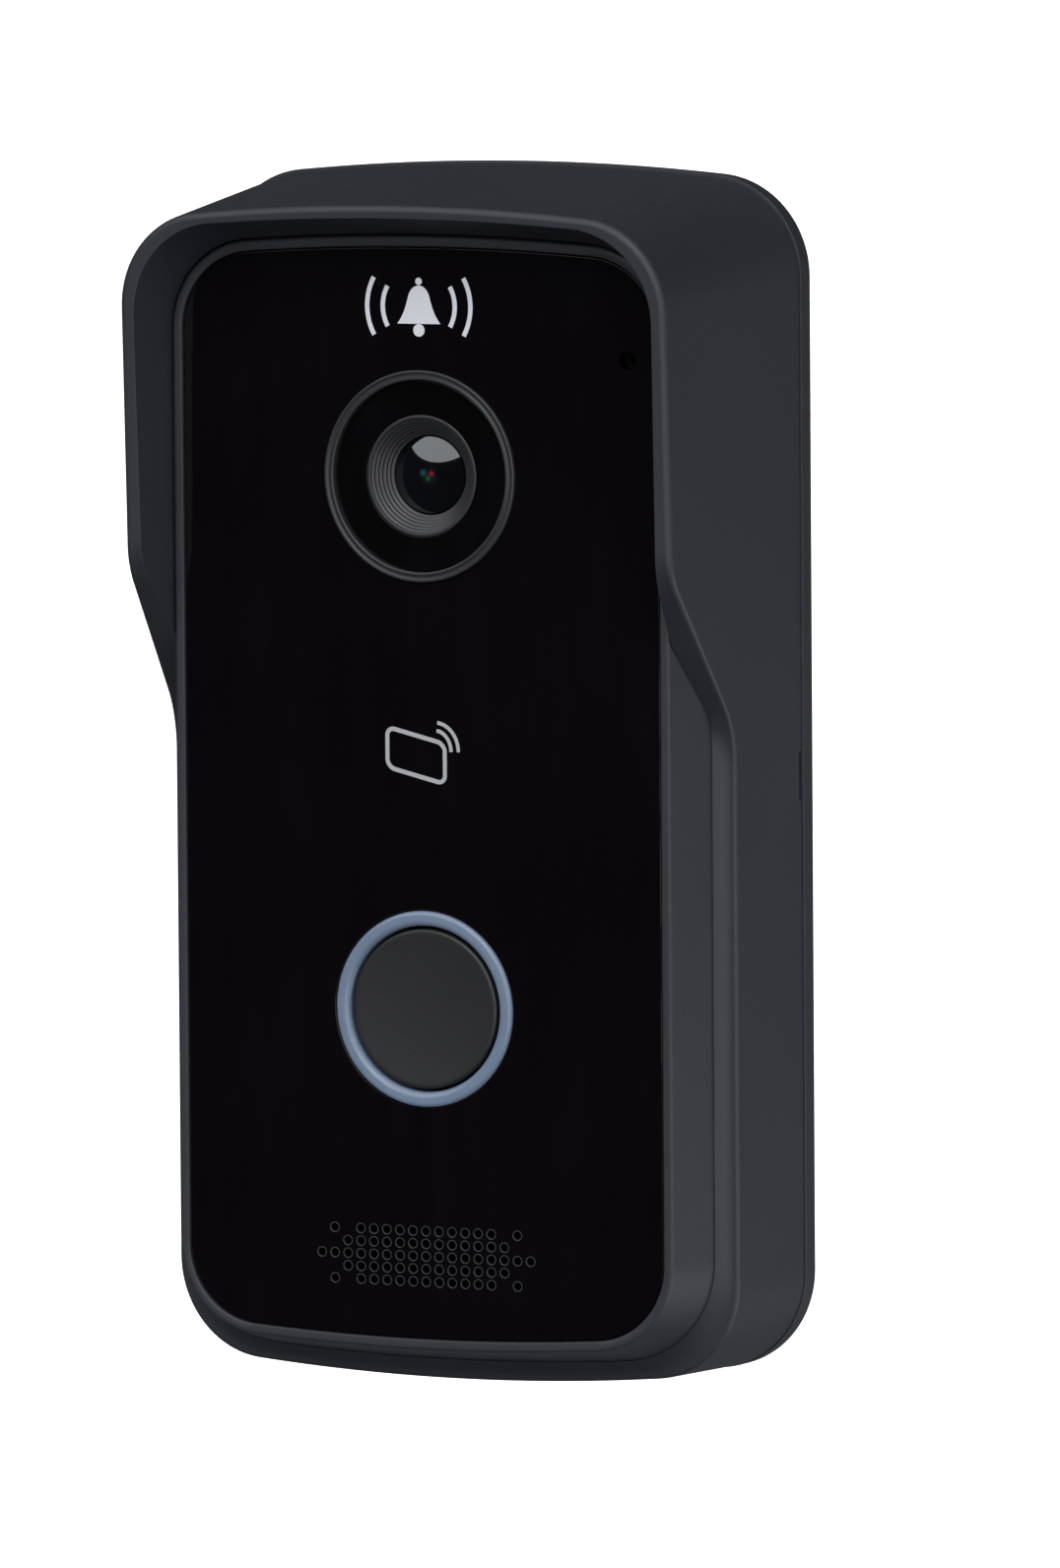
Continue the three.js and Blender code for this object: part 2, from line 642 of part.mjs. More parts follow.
// A ring with chamfered front edges that frames the camera's window.
function cameraTrimRing() {
  const chamfer = 0.25;
  const rear = wallFront + GAP;
  return turned([
    [trimInner, rear],
    [trimRadius, rear],
    [trimRadius, trimFront - chamfer],
    [trimRadius - chamfer, trimFront],
    [trimInner + chamfer, trimFront],
    [trimInner, trimFront - chamfer],
  ]);
}

// The baffle in front of the lens narrows towards the glass in even steps.
function lensCone() {
  const stepDepth = CONE_DEPTH / CONE_STEPS;
  const mouth = coneRadius - 0.6;
  const stepWidth = (mouth - openingRadius) / CONE_STEPS;
  const steps = [];
  for (let i = 0; i < CONE_STEPS; i += 1) {
    const radius = openingRadius + stepWidth * i;
    steps.push([radius, coneRear + stepDepth * i]);
    steps.push([radius + stepWidth * 0.6, coneRear + stepDepth * (i + 1)]);
  }
  const profile = [[coneRadius, windowFront], [mouth, windowFront], ...steps.reverse()];
  return turned([...profile, [coneRadius, coneRear]]);
}

function lensBarrel() {
  const frontPocket = barrelFront - 2.4;
  const rearPocket = barrelRear + 1.9;
  return turned([
    [barrelRadius, barrelRear],
    [barrelRadius, barrelFront],
    [openingRadius + 0.1, barrelFront],
    [openingRadius + 0.1, frontPocket],
    [2.2, frontPocket],
    [2.2, rearPocket],
    [3.6, rearPocket],
    [3.6, barrelRear],
  ]);
}

// A lens: flat behind, with a spherical front of the given radius of curvature.
function lensElement(radius, rear, edge, curvature) {
  const sagitta = curvature - Math.sqrt(curvature ** 2 - radius ** 2);
  const arc = [];
  const count = 5;
  for (let i = 0; i <= count; i += 1) {
    const r = (radius * i) / count;
    arc.push([r, edge + sagitta - curvature + Math.sqrt(curvature ** 2 - r ** 2)]);
  }
  return turned([...arc, [radius, rear], [0, rear]], 24);
}

function lensHolder() {
  const pocket = 9.5;
  const bore = barrelRadius + GAP;
  return cut(
    join(
      block(HOLDER_SIZE, HOLDER_SIZE, holderRear, holderBaseFront),
      disc(bore + 1.1, holderRear + 1, holderFront, 0, 0, 24),
    ),
    block(pocket, pocket, holderRear - 1, holderRear + 1.6),
    disc(3.5, holderRear, holderBaseFront + 1, 0, 0, 24),
    disc(bore, holderBaseFront, holderFront + 1, 0, 0, 24),
  );
}

function addCamera() {
  const camera = subAssembly(0, cameraZ);
  const irInner = coneRadius + 0.5;
  const irOuter = trimInner - 0.6;
  const ledCircle = (irInner + irOuter) / 2;
  const ledRear = irBoardFront + 0.1;
  const windowRear = windowFront - WINDOW_THICKNESS;
  const window = ring(windowRadius, coneRadius + 0.2, windowRear, windowFront);
  const frontLens = lensElement(openingRadius - 0.1, barrelFront - 2.1, barrelFront - 0.6, 7);
  const rearLens = lensElement(3.3, barrelRear + 0.2, barrelRear + 0.9, 8);
  addPart(camera, "camera_trim_ring", cameraTrimRing(), "trimPlastic");
  addPart(camera, "camera_window", window, "panelGloss");
  addPart(camera, "lens_cone", lensCone(), "trimPlastic");
  addPart(camera, "lens_barrel", lensBarrel(), "anodised");
  addPart(camera, "lens_front_element", frontLens, "lensGlass");
  addPart(camera, "lens_rear_element", rearLens, "lensGlass");
  addPart(camera, "lens_holder", lensHolder(), "trimPlastic");
  addPart(camera, "image_sensor", block(7, 6, cameraBoardFront + 0.1, cameraBoardFront + 1.2), "chip");
  const board = block(CAMERA_BOARD_SIZE, CAMERA_BOARD_SIZE, cameraBoardRear, cameraBoardFront);
  addPart(camera, "camera_board", board, "board");
  addPart(camera, "ir_led_board", ring(irOuter, irInner, irBoardFront - 0.8, irBoardFront), "board");
  for (let i = 0; i < IR_LED_COUNT; i += 1) {
    const angle = (2 * Math.PI * (i + 0.5)) / IR_LED_COUNT;
    const led = block(IR_LED_SIZE, IR_LED_SIZE, ledRear, ledRear + 0.7);
    const [x, z] = onCircle(ledCircle, angle);
    addPart(camera, `ir_led_${i + 1}`, led, "ledClear", x, z);
  }
  addPart(camera, "light_sensor", block(1.6, 1.2, ledRear, ledRear + 0.6, 0, ledCircle), "chip");
}

// ---------------------------------------------------------------- call button

const buttonBoardRear = boardFront + BUTTON_STANDOFF;
const buttonBoardFront = buttonBoardRear + THIN_BOARD;
const lightFront = panelFront + LIGHT_RING_PROUD;
const lightFlangeFront = wallRear - GAP;
const lightFlangeRear = lightFlangeFront - LIGHT_FLANGE;
const capFront = panelFront - 0.1;
const capFlangeRear = capFront - CAP_FLANGE_DEPTH;
const capFlangeFront = lightFlangeRear - GAP;
const switchRear = buttonBoardFront + GAP;
const switchFront = switchRear + SWITCH_HEIGHT;
const stemFront = switchFront + STEM_SHOWING;
const stemRadius = STEM_DIAMETER / 2;

// Light guide: a rounded ring in the panel, with a flange behind the housing's wall.
function buttonLightRing() {
  const flange = lightRadius + 1;
  const round = 0.4;
  return turned([
    [lightInner, lightFlangeRear],
    [flange, lightFlangeRear],
    [flange, lightFlangeFront],
    [lightRadius, lightFlangeFront],
    [lightRadius, lightFront - round],
    [lightRadius - round, lightFront],
    [lightInner + round, lightFront],
    [lightInner, lightFront - round],
  ]);
}

// Hollow cap: a domed face, a skirt, a flange that stops it behind the light ring, and a post
// that ends just above the switch's stem.
function callButtonCap() {
  const flange = lightInner + 0.9;
  const edge = 0.5;
  const bore = capRadius - CAP_WALL;
  const roof = capFront - edge - CAP_WALL;
  const dome = [];
  const count = 4;
  for (let i = 0; i < count; i += 1) {
    const share = i / count;
    dome.push([(capRadius - edge) * share, capFront + CAP_CROWN * (1 - share ** 2) - CAP_CROWN]);
  }
  return turned([
    ...dome,
    [capRadius - edge, capFront - CAP_CROWN],
    [capRadius, capFront - CAP_CROWN - edge],
    [capRadius, capFlangeFront],
    [flange, capFlangeFront],
    [flange, capFlangeRear],
    [bore, capFlangeRear],
    [bore, roof],
    [2.2, roof],
    [2.2, stemFront + GAP],
    [0, stemFront + GAP],
  ]);
}

// Silicone ring under the cap's flange; it leans inwards so that it buckles when pressed.
function buttonReturnPad() {
  const rear = buttonBoardFront + GAP;
  const front = capFlangeRear - GAP;
  const outer = lightInner + 0.9;
  const inner = outer - 2.2;
  const middle = (rear + front) / 2;
  return turned([
    [inner, rear],
    [outer, rear],
    [outer, rear + 0.7],
    [inner + 1, middle + 0.4],
    [outer, front - 0.6],
    [outer, front],
    [inner, front],
    [inner - 0.2, middle + 0.4],
    [inner - 0.2, middle - 0.4],
  ]);
}

function addCallButton() {
  const button = subAssembly(0, buttonZ);
  const boardRadius = wellRadius - GAP;
  const socket = disc(stemRadius + RUN, switchRear + 0.4, switchFront + 1);
  const switchBody = cut(block(SWITCH_SIZE, SWITCH_SIZE, switchRear, switchFront), socket);
  const stemRear = switchRear + 0.4 + CAP_TRAVEL + 0.1;
  addPart(button, "button_light_ring", buttonLightRing(), "lightGuide");
  addPart(button, "call_button_cap", callButtonCap(), "capPlastic");
  addPart(button, "button_return_pad", buttonReturnPad(), "rubber");
  const board = disc(boardRadius, buttonBoardRear, buttonBoardFront, 0, 0, ROUND);
  addPart(button, "button_board", board, "board");
  addPart(button, "tact_switch_body", switchBody, "chip");
  addPart(button, "tact_switch_stem", disc(stemRadius, stemRear, stemFront), "connectorWhite");
  const ledCircle = boardRadius - 1.2;
  const ledRear = buttonBoardFront + 0.1;
  for (let i = 0; i < RING_LED_COUNT; i += 1) {
    const angle = (2 * Math.PI * i) / RING_LED_COUNT;
    const led = block(1.6, 1.6, ledRear, ledRear + 0.8);
    const [x, z] = onCircle(ledCircle, angle);
    addPart(button, `ring_led_${i + 1}`, led, "ledClear", x, z);
  }
}

// ---------------------------------------------------------------- speaker and microphone

function addSpeaker() {
  const speaker = subAssembly(0, speakerZ);
  const radius = SPEAKER_DIAMETER / 2;
  const gasketRear = wallRear - GAP - 1.5;
  const front = gasketRear - GAP;
  const rear = front - SPEAKER_HEIGHT;
  const basketRear = front - 3.6;
  const magnetFront = basketRear - GAP;
  const magnetRadius = radius * 0.62;
  const rim = radius - 1.3;
  const gasket = ring(radius, rim, gasketRear, gasketRear + 1.5);
  const basket = turned([
    [rim, front],
    [rim, front - 0.9],
    [magnetRadius, basketRear + 0.9],
    [2.4, basketRear + 0.9],
    [2.4, basketRear],
    [magnetRadius + 0.6, basketRear],
    [radius, front - 1.6],
    [radius, front],
  ]);
  // A thin paper cone with a rolled edge and a dust cap in the middle.
  const paper = 0.35;
  const outer = rim - 0.2;
  const profile = [
    [0, 1.75],
    [1.6, 1.5],
    [2.4, 1.1],
    [outer - 1.8, 0.55],
    [outer - 0.9, 0.1],
    [outer, 0.5],
  ];
  const top = profile.map(([r, drop]) => [r, front - drop]);
  const bottom = profile.map(([r, drop]) => [r, front - drop - paper]).reverse();
  addPart(speaker, "speaker_gasket", gasket, "rubber");
  addPart(speaker, "speaker_frame", basket, "steel");
  addPart(speaker, "speaker_cone", turned([...top, ...bottom], 24), "paper");
  addPart(speaker, "speaker_magnet", disc(magnetRadius, rear, magnetFront, 0, 0, 24), "steel");
}

function addMicrophone() {
  const microphone = subAssembly(micX, micZ);
  const capsule = MIC_DIAMETER / 2;
  const front = wallRear - GAP;
  const pocket = front - 1;
  const rear = pocket - 3.2;
  const boot = turned([
    [capsule + 0.1, rear],
    [capsule + MIC_BOOT_WALL, rear],
    [capsule + MIC_BOOT_WALL, front],
    [0.6, front],
    [0.6, pocket],
    [capsule + 0.1, pocket],
  ], 20);
  addPart(microphone, "microphone_boot", boot, "rubber");
  addPart(microphone, "microphone", disc(capsule, rear + 0.4, pocket - 0.2, 0, 0, 20), "steel");
}

// ---------------------------------------------------------------- reader coil and antenna

function addReader() {
  const above = cameraZ - trimRadius - 1.5;
  const below = buttonZ + wellRadius + WELL_WALL + 0.8;
  const height = above - below;
  const width = 2 * (innerHalf - READER_MARGIN);
  const reader = subAssembly(0, (above + below) / 2);
  const front = wallRear - GAP;
  const rear = front - 1;
  const coilFront = rear - SOLDER;
  const inside = READER_BORDER + COIL_TRACK;
  const coil = cut(
    block(width - 2 * READER_BORDER, height - 2 * READER_BORDER, coilFront - 0.3, coilFront),
    block(width - 2 * inside, height - 2 * inside, coilFront - 1, coilFront + 1),
  );
  addPart(reader, "reader_coil_board", block(width, height, rear, front), "board");
  addPart(reader, "reader_coil", coil, "copper");
  const antennaZ = (unitTop - HOUSING_WALL + cameraZ + trimRadius) / 2;
  const antennaWidth = 2 * (innerHalf - ANTENNA_MARGIN);
  const antenna = block(antennaWidth, ANTENNA_HEIGHT, front - 0.4, front, 0, antennaZ);
  addPart(doorbell, "wifi_antenna", antenna, "copper");
}

// ---------------------------------------------------------------- main board and its parts

const mainBoardTop = unitTop - MAIN_BOARD_FROM_TOP;
const mainBoardBottom = unitBottom + MAIN_BOARD_FROM_BOTTOM;

function addMainBoard() {
  const height = mainBoardTop - mainBoardBottom;
  const middle = (mainBoardTop + mainBoardBottom) / 2;
  const holes = boardPosts.map(([x, z]) =>
    disc(BOARD_SCREW.shank + GAP, boardRear - 1, boardFront + 1, x, z),
  );
  const boardWidth = 2 * (innerHalf - MAIN_BOARD_MARGIN);
  const board = cut(block(boardWidth, height, boardRear, boardFront, 0, middle), ...holes);
  addPart(doorbell, "main_board", board, "board");
  const rear = boardFront + SOLDER;
  const betweenZ = (cameraZ + buttonZ) / 2;
  const chip = block(PROCESSOR.size, PROCESSOR.size, rear, rear + PROCESSOR.height);
  addPart(doorbell, "processor", chip, "chip", PROCESSOR.x, betweenZ);
  const can = block(SHIELD_CAN.width, SHIELD_CAN.height, rear, rear + SHIELD_CAN.thickness);
  addPart(doorbell, "radio_shield_can", can, "steel", SHIELD_CAN.x, betweenZ);
  const connector = block(CONNECTOR.width, CONNECTOR.height, rear, rear + CONNECTOR.thickness);
  const connectorX = -(innerHalf - CONNECTOR.margin);
  const connectorZ = betweenZ - CONNECTOR.drop;
  addPart(doorbell, "network_connector", connector, "connectorWhite", connectorX, connectorZ);
  const { width, height: tall, entry, ways, z } = TERMINAL;
  const entries = Array.from({ length: ways }, (_, i) => {
    const x = ((i - (ways - 1) / 2) * width) / (ways + 0.6);
    return block(entry, 3, shellRear, shellRear + 3, x, z);
  });
  const terminal = cut(block(width, tall, shellRear + 0.4, boardRear - GAP, 0, z), ...entries);
  addPart(doorbell, "supply_terminal_block", terminal, "terminalGreen");
}

// A screw seen from behind: a head with a cross recess, and a plain shank going forwards.
function rearScrew({ shank, head, headHeight, length }, headRear) {
  const recess = 0.6;
  const headFront = headRear + headHeight;
  return cut(
    join(disc(head, headRear, headFront), disc(shank, headFront - 0.3, headFront + length, 0, 0, 10)),
    block(head * 1.1, 0.5, headRear - 1, headRear + recess),
    block(0.5, head * 1.1, headRear - 1, headRear + recess),
  );
}

function addScrews() {
  const boardHead = boardRear - GAP - BOARD_SCREW.headHeight;
  boardPosts.forEach(([x, z], i) => {
    addPart(doorbell, `board_screw_${i + 1}`, rearScrew(BOARD_SCREW, boardHead), "steel", x, z);
  });
  coverPosts.forEach(([x, z], i) => {
    addPart(doorbell, `cover_screw_${i + 1}`, rearScrew(SCREW, coverRear), "steel", x, z);
  });
}

// ---------------------------------------------------------------- rear cover, seal and grommet

function rearCover() {
  const plate = slab(unitOutline(0), coverRear, coverFront);
  // Closed pockets that the bracket's hooks enter.
  const hookFront = BRACKET_THICKNESS + HOOK.reach;
  const pocketWidth = HOOK.width + 2 * GAP + 0.4;
  const pocketLow = HOOK.z - HOOK.thickness / 2 - HOOK.rise - GAP;
  const pocketHigh = HOOK.z + HOOK.thickness / 2 + HOOK.rise + GAP;
  const pocketHeight = pocketHigh - pocketLow;
  const pocketZ = (pocketHigh + pocketLow) / 2;
  const wall = 1.1;
  const roomFront = hookFront + GAP;
  const pocketBlock = (margin, rear, front) => (side) =>
    block(pocketWidth + 2 * margin, pocketHeight + 2 * margin, rear, front, side * HOOK.x, pocketZ);
  const boxes = [-1, 1].map(pocketBlock(wall, coverRear, roomFront + wall));
  const rooms = [-1, 1].map(pocketBlock(0, coverRear - 1, roomFront));
  const terminalWidth = TERMINAL.width + 2 * GAP;
  const terminalHeight = TERMINAL.height + 2 * GAP;
  const screws = coverPosts.flatMap(([x, z]) => [
    disc(SCREW.shank + GAP, coverRear - 1, coverFront + 1, x, z),
    disc(SCREW.head + GAP, coverRear - 1, coverRear + SCREW.headHeight + 0.1, x, z),
  ]);
  return cut(
    join(plate, ...boxes),
    ...rooms,
    ...screws,
    block(terminalWidth, terminalHeight, coverRear - 1, coverFront + 1, 0, TERMINAL.z),
    disc(GROMMET.radius - 1, coverRear - 1, coverFront + 1, 0, GROMMET.z, 24),
    disc(PLUNGER_BODY / 2 + RUN, coverRear - 1, coverFront + 1, tamperX, TAMPER_Z, 24),
  );
}

function rearSeal() {
  const inset = HOUSING_WALL + GAP;
  return cut(
    slab(unitOutline(inset), housingRear, sealFront),
    slab(unitOutline(inset + SEAL_SIZE), housingRear - 1, sealFront + 1),
  );
}

// A rubber bush with a groove that grips the edge of the cover's hole.
function cableGrommet() {
  const { radius, hole } = GROMMET;
  const neck = radius - 1 - GAP;
  return turned([
    [hole, coverRear - 0.9],
    [radius, coverRear - 0.9],
    [radius, coverRear - GAP],
    [neck, coverRear - GAP],
    [neck, coverFront + GAP],
    [radius, coverFront + GAP],
    [radius, coverFront + 1.3],
    [hole, coverFront + 1.3],
  ], 24);
}

// ---------------------------------------------------------------- tamper switch

const plungerStop = coverFront + PLUNGER_TRAVEL + 0.1;
const plungerFront = plungerStop + 1;
const plungerStep = BRACKET_THICKNESS + PLUNGER_TRAVEL + GAP;
const cupFloor = 0.6;
const springRear = plungerStep + cupFloor + GAP;
const tamperBodyFront = boardRear - GAP;
const tamperBodyRear = tamperBodyFront - 1.8;

// A pin that steps up to a cup, with a flange that stops against the cover when it springs out.
function tamperPlunger() {
  const body = PLUNGER_BODY / 2;
  const cup = body - PLUNGER_WALL;
  return turned([
    [0, 0],
    [PLUNGER_TIP / 2, 0],
    [PLUNGER_TIP / 2, plungerStep],
    [body, plungerStep],
    [body, plungerStop],
    [body + 0.9, plungerStop],
    [body + 0.9, plungerFront],
    [cup, plungerFront],
    [cup, springRear - GAP],
    [0, springRear - GAP],
  ], 20);
}

// A compression spring: round wire carried along a helix whose two ends sit flat.
function tamperSpring() {
  const wire = 0.22;
  const radius = PLUNGER_BODY / 2 - PLUNGER_WALL - wire - RUN;
  const turns = 4;
  const front = tamperBodyRear - GAP;
  const rear = springRear;
  const points = [];
  const stepsPerTurn = 10;
  for (let i = 0; i <= turns * stepsPerTurn; i += 1) {
    const share = i / (turns * stepsPerTurn);
    const angle = 2 * Math.PI * turns * share;
    const depth = rear + wire + (front - rear - 2 * wire) * share;
    points.push(new THREE.Vector3(radius * Math.cos(angle), -depth, radius * Math.sin(angle)));
  }
  const section = new THREE.Shape().absarc(0, 0, wire, 0, 2 * Math.PI);
  const path = new THREE.CatmullRomCurve3(points);
  const options = { steps: turns * stepsPerTurn, bevelEnabled: false, curveSegments: 3, extrudePath: path };
  return toSolid(new THREE.ExtrudeGeometry(section, options));
}

function addTamperSwitch() {
  const tamper = subAssembly(tamperX, TAMPER_Z);
  addPart(tamper, "tamper_switch_body", block(9, 9, tamperBodyRear, tamperBodyFront), "chip");
  addPart(tamper, "tamper_plunger", tamperPlunger(), "connectorWhite");
  addPart(tamper, "tamper_spring", tamperSpring(), "steel");
}

// ---------------------------------------------------------------- the whole object

addPart(doorbell, "wall_bracket", wallBracket(), "shellPlastic");
addPart(doorbell, "outer_shell", outerShell(), "shellPlastic");
addPart(doorbell, "lock_screw", lockScrew(), "steel");
addPart(doorbell, "front_housing", frontHousing(), "shellPlastic");
addPart(doorbell, "front_panel", frontPanel(), "panelGloss");
addPart(doorbell, "grille_cloth", grilleCloth(), "rubber");
addCamera();
addCallButton();
addSpeaker();
addMicrophone();
addReader();
addMainBoard();
addScrews();
addPart(doorbell, "rear_cover", rearCover(), "shellPlastic");
addPart(doorbell, "rear_seal", rearSeal(), "rubber");
addPart(doorbell, "cable_grommet", cableGrommet(), "rubber", 0, GROMMET.z);
addTamperSwitch();

export default doorbell;
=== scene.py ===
"""Video doorbell: the visible surfaces, finishes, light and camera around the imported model.

Shapes are worked out in millimetres in the model's frame: x to the right, z up, and depth
forwards from the wall, so a point at depth d has y = -d. Objects are in metres.
"""
import json
import math
from types import SimpleNamespace

import bmesh
import bpy
import numpy as np
from mathutils import Matrix, Vector


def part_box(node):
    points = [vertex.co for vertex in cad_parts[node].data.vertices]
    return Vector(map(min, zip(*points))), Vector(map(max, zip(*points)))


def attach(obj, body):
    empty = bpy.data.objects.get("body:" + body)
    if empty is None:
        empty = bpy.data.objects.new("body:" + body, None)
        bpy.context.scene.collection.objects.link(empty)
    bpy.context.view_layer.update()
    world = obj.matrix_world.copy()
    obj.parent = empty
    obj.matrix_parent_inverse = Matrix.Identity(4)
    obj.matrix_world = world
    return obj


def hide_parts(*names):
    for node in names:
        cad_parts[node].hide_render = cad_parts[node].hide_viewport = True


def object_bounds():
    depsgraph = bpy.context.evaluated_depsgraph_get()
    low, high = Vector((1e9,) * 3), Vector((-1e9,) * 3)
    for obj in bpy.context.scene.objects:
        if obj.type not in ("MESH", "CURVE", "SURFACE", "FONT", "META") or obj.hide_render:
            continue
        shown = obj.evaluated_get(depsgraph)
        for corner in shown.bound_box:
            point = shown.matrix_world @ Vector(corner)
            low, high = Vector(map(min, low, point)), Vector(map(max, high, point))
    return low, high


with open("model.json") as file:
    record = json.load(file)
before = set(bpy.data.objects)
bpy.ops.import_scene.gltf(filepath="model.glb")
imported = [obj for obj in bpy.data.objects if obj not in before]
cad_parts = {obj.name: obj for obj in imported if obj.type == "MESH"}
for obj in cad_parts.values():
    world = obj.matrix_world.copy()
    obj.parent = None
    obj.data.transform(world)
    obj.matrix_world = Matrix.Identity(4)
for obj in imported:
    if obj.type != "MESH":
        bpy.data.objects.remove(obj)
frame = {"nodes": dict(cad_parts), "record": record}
cad_low, cad_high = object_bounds()

MM = 0.001
PI = math.pi


def extent(node):
    """A CAD node's box in millimetres, with depth measured forwards from the wall."""
    low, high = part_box(node)
    box = SimpleNamespace(
        left=low[0] / MM, right=high[0] / MM,
        rear=-high[1] / MM, front=-low[1] / MM,
        bottom=low[2] / MM, top=high[2] / MM,
    )
    box.x = (box.left + box.right) / 2
    box.z = (box.bottom + box.top) / 2
    return box


# ---------------------------------------------------------------- sizes, millimetres

bracket = extent("wall_bracket")
shell = extent("outer_shell")
housing = extent("front_housing")
panel = extent("front_panel")
cover = extent("rear_cover")
trim = extent("camera_trim_ring")
window = extent("camera_window")
cone = extent("lens_cone")
lens = extent("lens_front_element")
light_ring = extent("button_light_ring")
cap = extent("call_button_cap")
cloth = extent("grille_cloth")
grommet = extent("cable_grommet")
terminal = extent("supply_terminal_block")
plunger = extent("tamper_plunger")
main_board = extent("main_board")
lock = extent("lock_screw")

HALF_WIDTH = bracket.right
HALF_HEIGHT = bracket.top
BRACKET_THICKNESS = 2.2
EDGE_BOW = 295  # radius of the bowed top and bottom edges
UNIT_CORNER = 11.7
BEZEL_DEPTH = housing.front

# Shell: its draft, the lip, the sweep and the visor's rim
SIDE_DRAFT = 0.085
TOP_DRAFT = 0.118
BOTTOM_DRAFT = 0.016
LIP_DEPTH = 17.3
VISOR_DEPTH = 33.1
RIM_LEAN = 0.039
SWEEP_TOP = 24.3
SWEEP_BOTTOM = 6.0
SWEEP_UPPER_RADIUS = 8
SWEEP_LOWER_RADIUS = 12
RIM_THICKNESS = 1.55
ROOF_THICKNESS = 1.4
LIP_RISE = 1.0  # how far the lip's inner edge stands in front of its outer edge
RISE_TOP = 9.0  # the lip's slope fades out between these heights
RISE_BOTTOM = 2.0
SKIRT_SLOPE = 0.26  # the housing widens towards the lip by this much a millimetre
SKIRT_REAR = 12.0
CLOSE_FIT = 0.22  # how much nearer the skirt comes to the shell than the straight wall
LEDGE_THICKNESS = 0.8
LEDGE_WIDTH = 2
PRY_SLOT_LENGTH = 5.6
PRY_SLOT_HEIGHT = 0.6

# Bracket: the tab that the lock screw enters, and the two hooks
TAB_WIDTH = 12
TAB_THICKNESS = 1.3
TAB_REACH = 6.8
TAB_ROOF = 0.5  # between the tab and the shell's pocket
HOOK_X = 14
HOOK_Z = 30

SLIP = 0.25  # between the housing and the shell's pocket
HOUSING_CORNER = 10.2
HOUSING_WALL = 1.8
BEZEL_RIM = 1.15
PANEL_GAP = 0.15

TRIM_RADIUS = (trim.right - trim.left) / 2
TRIM_WIDTH = 1.15
CONE_RADIUS = (cone.right - cone.left) / 2
LENS_OPENING = 4.6
LIGHT_RING_RADIUS = 11.3
LIGHT_RING_WIDTH = 1.75
CAP_CLEARANCE = 0.35
CAP_WALL = 1.5
CAP_FLANGE_DEPTH = 7.1  # from the cap's face to the rear of its flange

HOLE_RADIUS = 0.6
HOLE_PITCH_X = 1.675
HOLE_PITCH_Z = 1.462
GRILLE_Z = -54.73
MIC_X = 26.4
MIC_Z = 48.5
MIC_PORT = 1.15

INK_SUNK = 0.01  # how far a printed stroke reaches into the panel
INK_RAISED = 0.04


# ---------------------------------------------------------------- outlines and paths


def bowed_outline(half, top, bottom, corner, side=150, end=60, turn=24):
    """Rounded rectangle with bowed ends, anticlockwise from the lower end of its right side.

    The top and bottom are arcs of radius EDGE_BOW about points on the middle line, and each
    corner is an arc of radius corner that touches the straight side and the bowed end.
    """
    reach = half - corner
    rise = math.sqrt((EDGE_BOW - corner) ** 2 - reach ** 2)
    angle = math.atan2(rise, reach)
    upper = top - EDGE_BOW
    lower = bottom + EDGE_BOW

    def arc(x, z, radius, start, stop, count):
        t = np.linspace(start, stop, count, endpoint=False)
        return np.stack([x + radius * np.cos(t), z + radius * np.sin(t)], 1)

    def straight(x, start, stop):
        z = np.linspace(start, stop, side, endpoint=False)
        return np.stack([np.full(side, x), z], 1)

    return np.concatenate([
        straight(half, lower - rise, upper + rise),
        arc(reach, upper + rise, corner, 0, angle, turn),
        arc(0, upper, EDGE_BOW, angle, PI - angle, end),
        arc(-reach, upper + rise, corner, PI - angle, PI, turn),
        straight(-half, upper + rise, lower - rise),
        arc(-reach, lower - rise, corner, PI, PI + angle, turn),
        arc(0, lower, EDGE_BOW, PI + angle, 2 * PI - angle, end),
        arc(reach, lower - rise, corner, 2 * PI - angle, 2 * PI, turn),
    ])


def unit_outline(inset, **counts):
    """The housing's outline moved in by an inset; a negative inset gives the shell's pocket."""
    return bowed_outline(
        housing.right - inset, housing.top - inset, housing.bottom + inset,
        HOUSING_CORNER - inset, **counts,
    )


def skirt(depth):
    """How far the housing's wall stands out at a depth: a slope from the bezel back to the lip,
    which returns to the plain outline behind it."""
    widening = SKIRT_SLOPE * (BEZEL_DEPTH - np.asarray(depth, float))
    widest = SKIRT_SLOPE * (BEZEL_DEPTH - LIP_DEPTH)
    share = (np.asarray(depth, float) - SKIRT_REAR) / (LIP_DEPTH - SKIRT_REAR)
    return np.clip(np.minimum(widening, widest * np.clip(share, 0, 1)), 0, None)


def body_outline(inset, **counts):
    """The whole unit's outline at the wall, moved in by an inset."""
    return bowed_outline(
        HALF_WIDTH - inset, HALF_HEIGHT - inset, -HALF_HEIGHT + inset,
        UNIT_CORNER - inset, **counts,
    )


def rounded_rectangle(width, height, corner, x=0, z=0, turn=8):
    """Rounded rectangle, anticlockwise: four quarter circles joined by straight runs."""
    t = np.linspace(0, PI / 2, turn)
    quarter = np.stack([np.cos(t), np.sin(t)], 1) * corner
    signs = np.array([[1, 1], [-1, 1], [-1, -1], [1, -1]])
    middle = np.array([width / 2 - corner, height / 2 - corner])
    quarter_turn = np.array([[0, 1], [-1, 0]])
    arcs = []
    for sign in signs:
        arcs.append(quarter + sign * middle + [x, z])
        quarter = quarter @ quarter_turn
    return np.concatenate(arcs)


def circle(radius, x=0, z=0, count=96):
    """Circle of count points about (x, z)."""
    t = np.linspace(0, 2 * PI, count, endpoint=False)
    return np.stack([x + radius * np.cos(t), z + radius * np.sin(t)], 1)


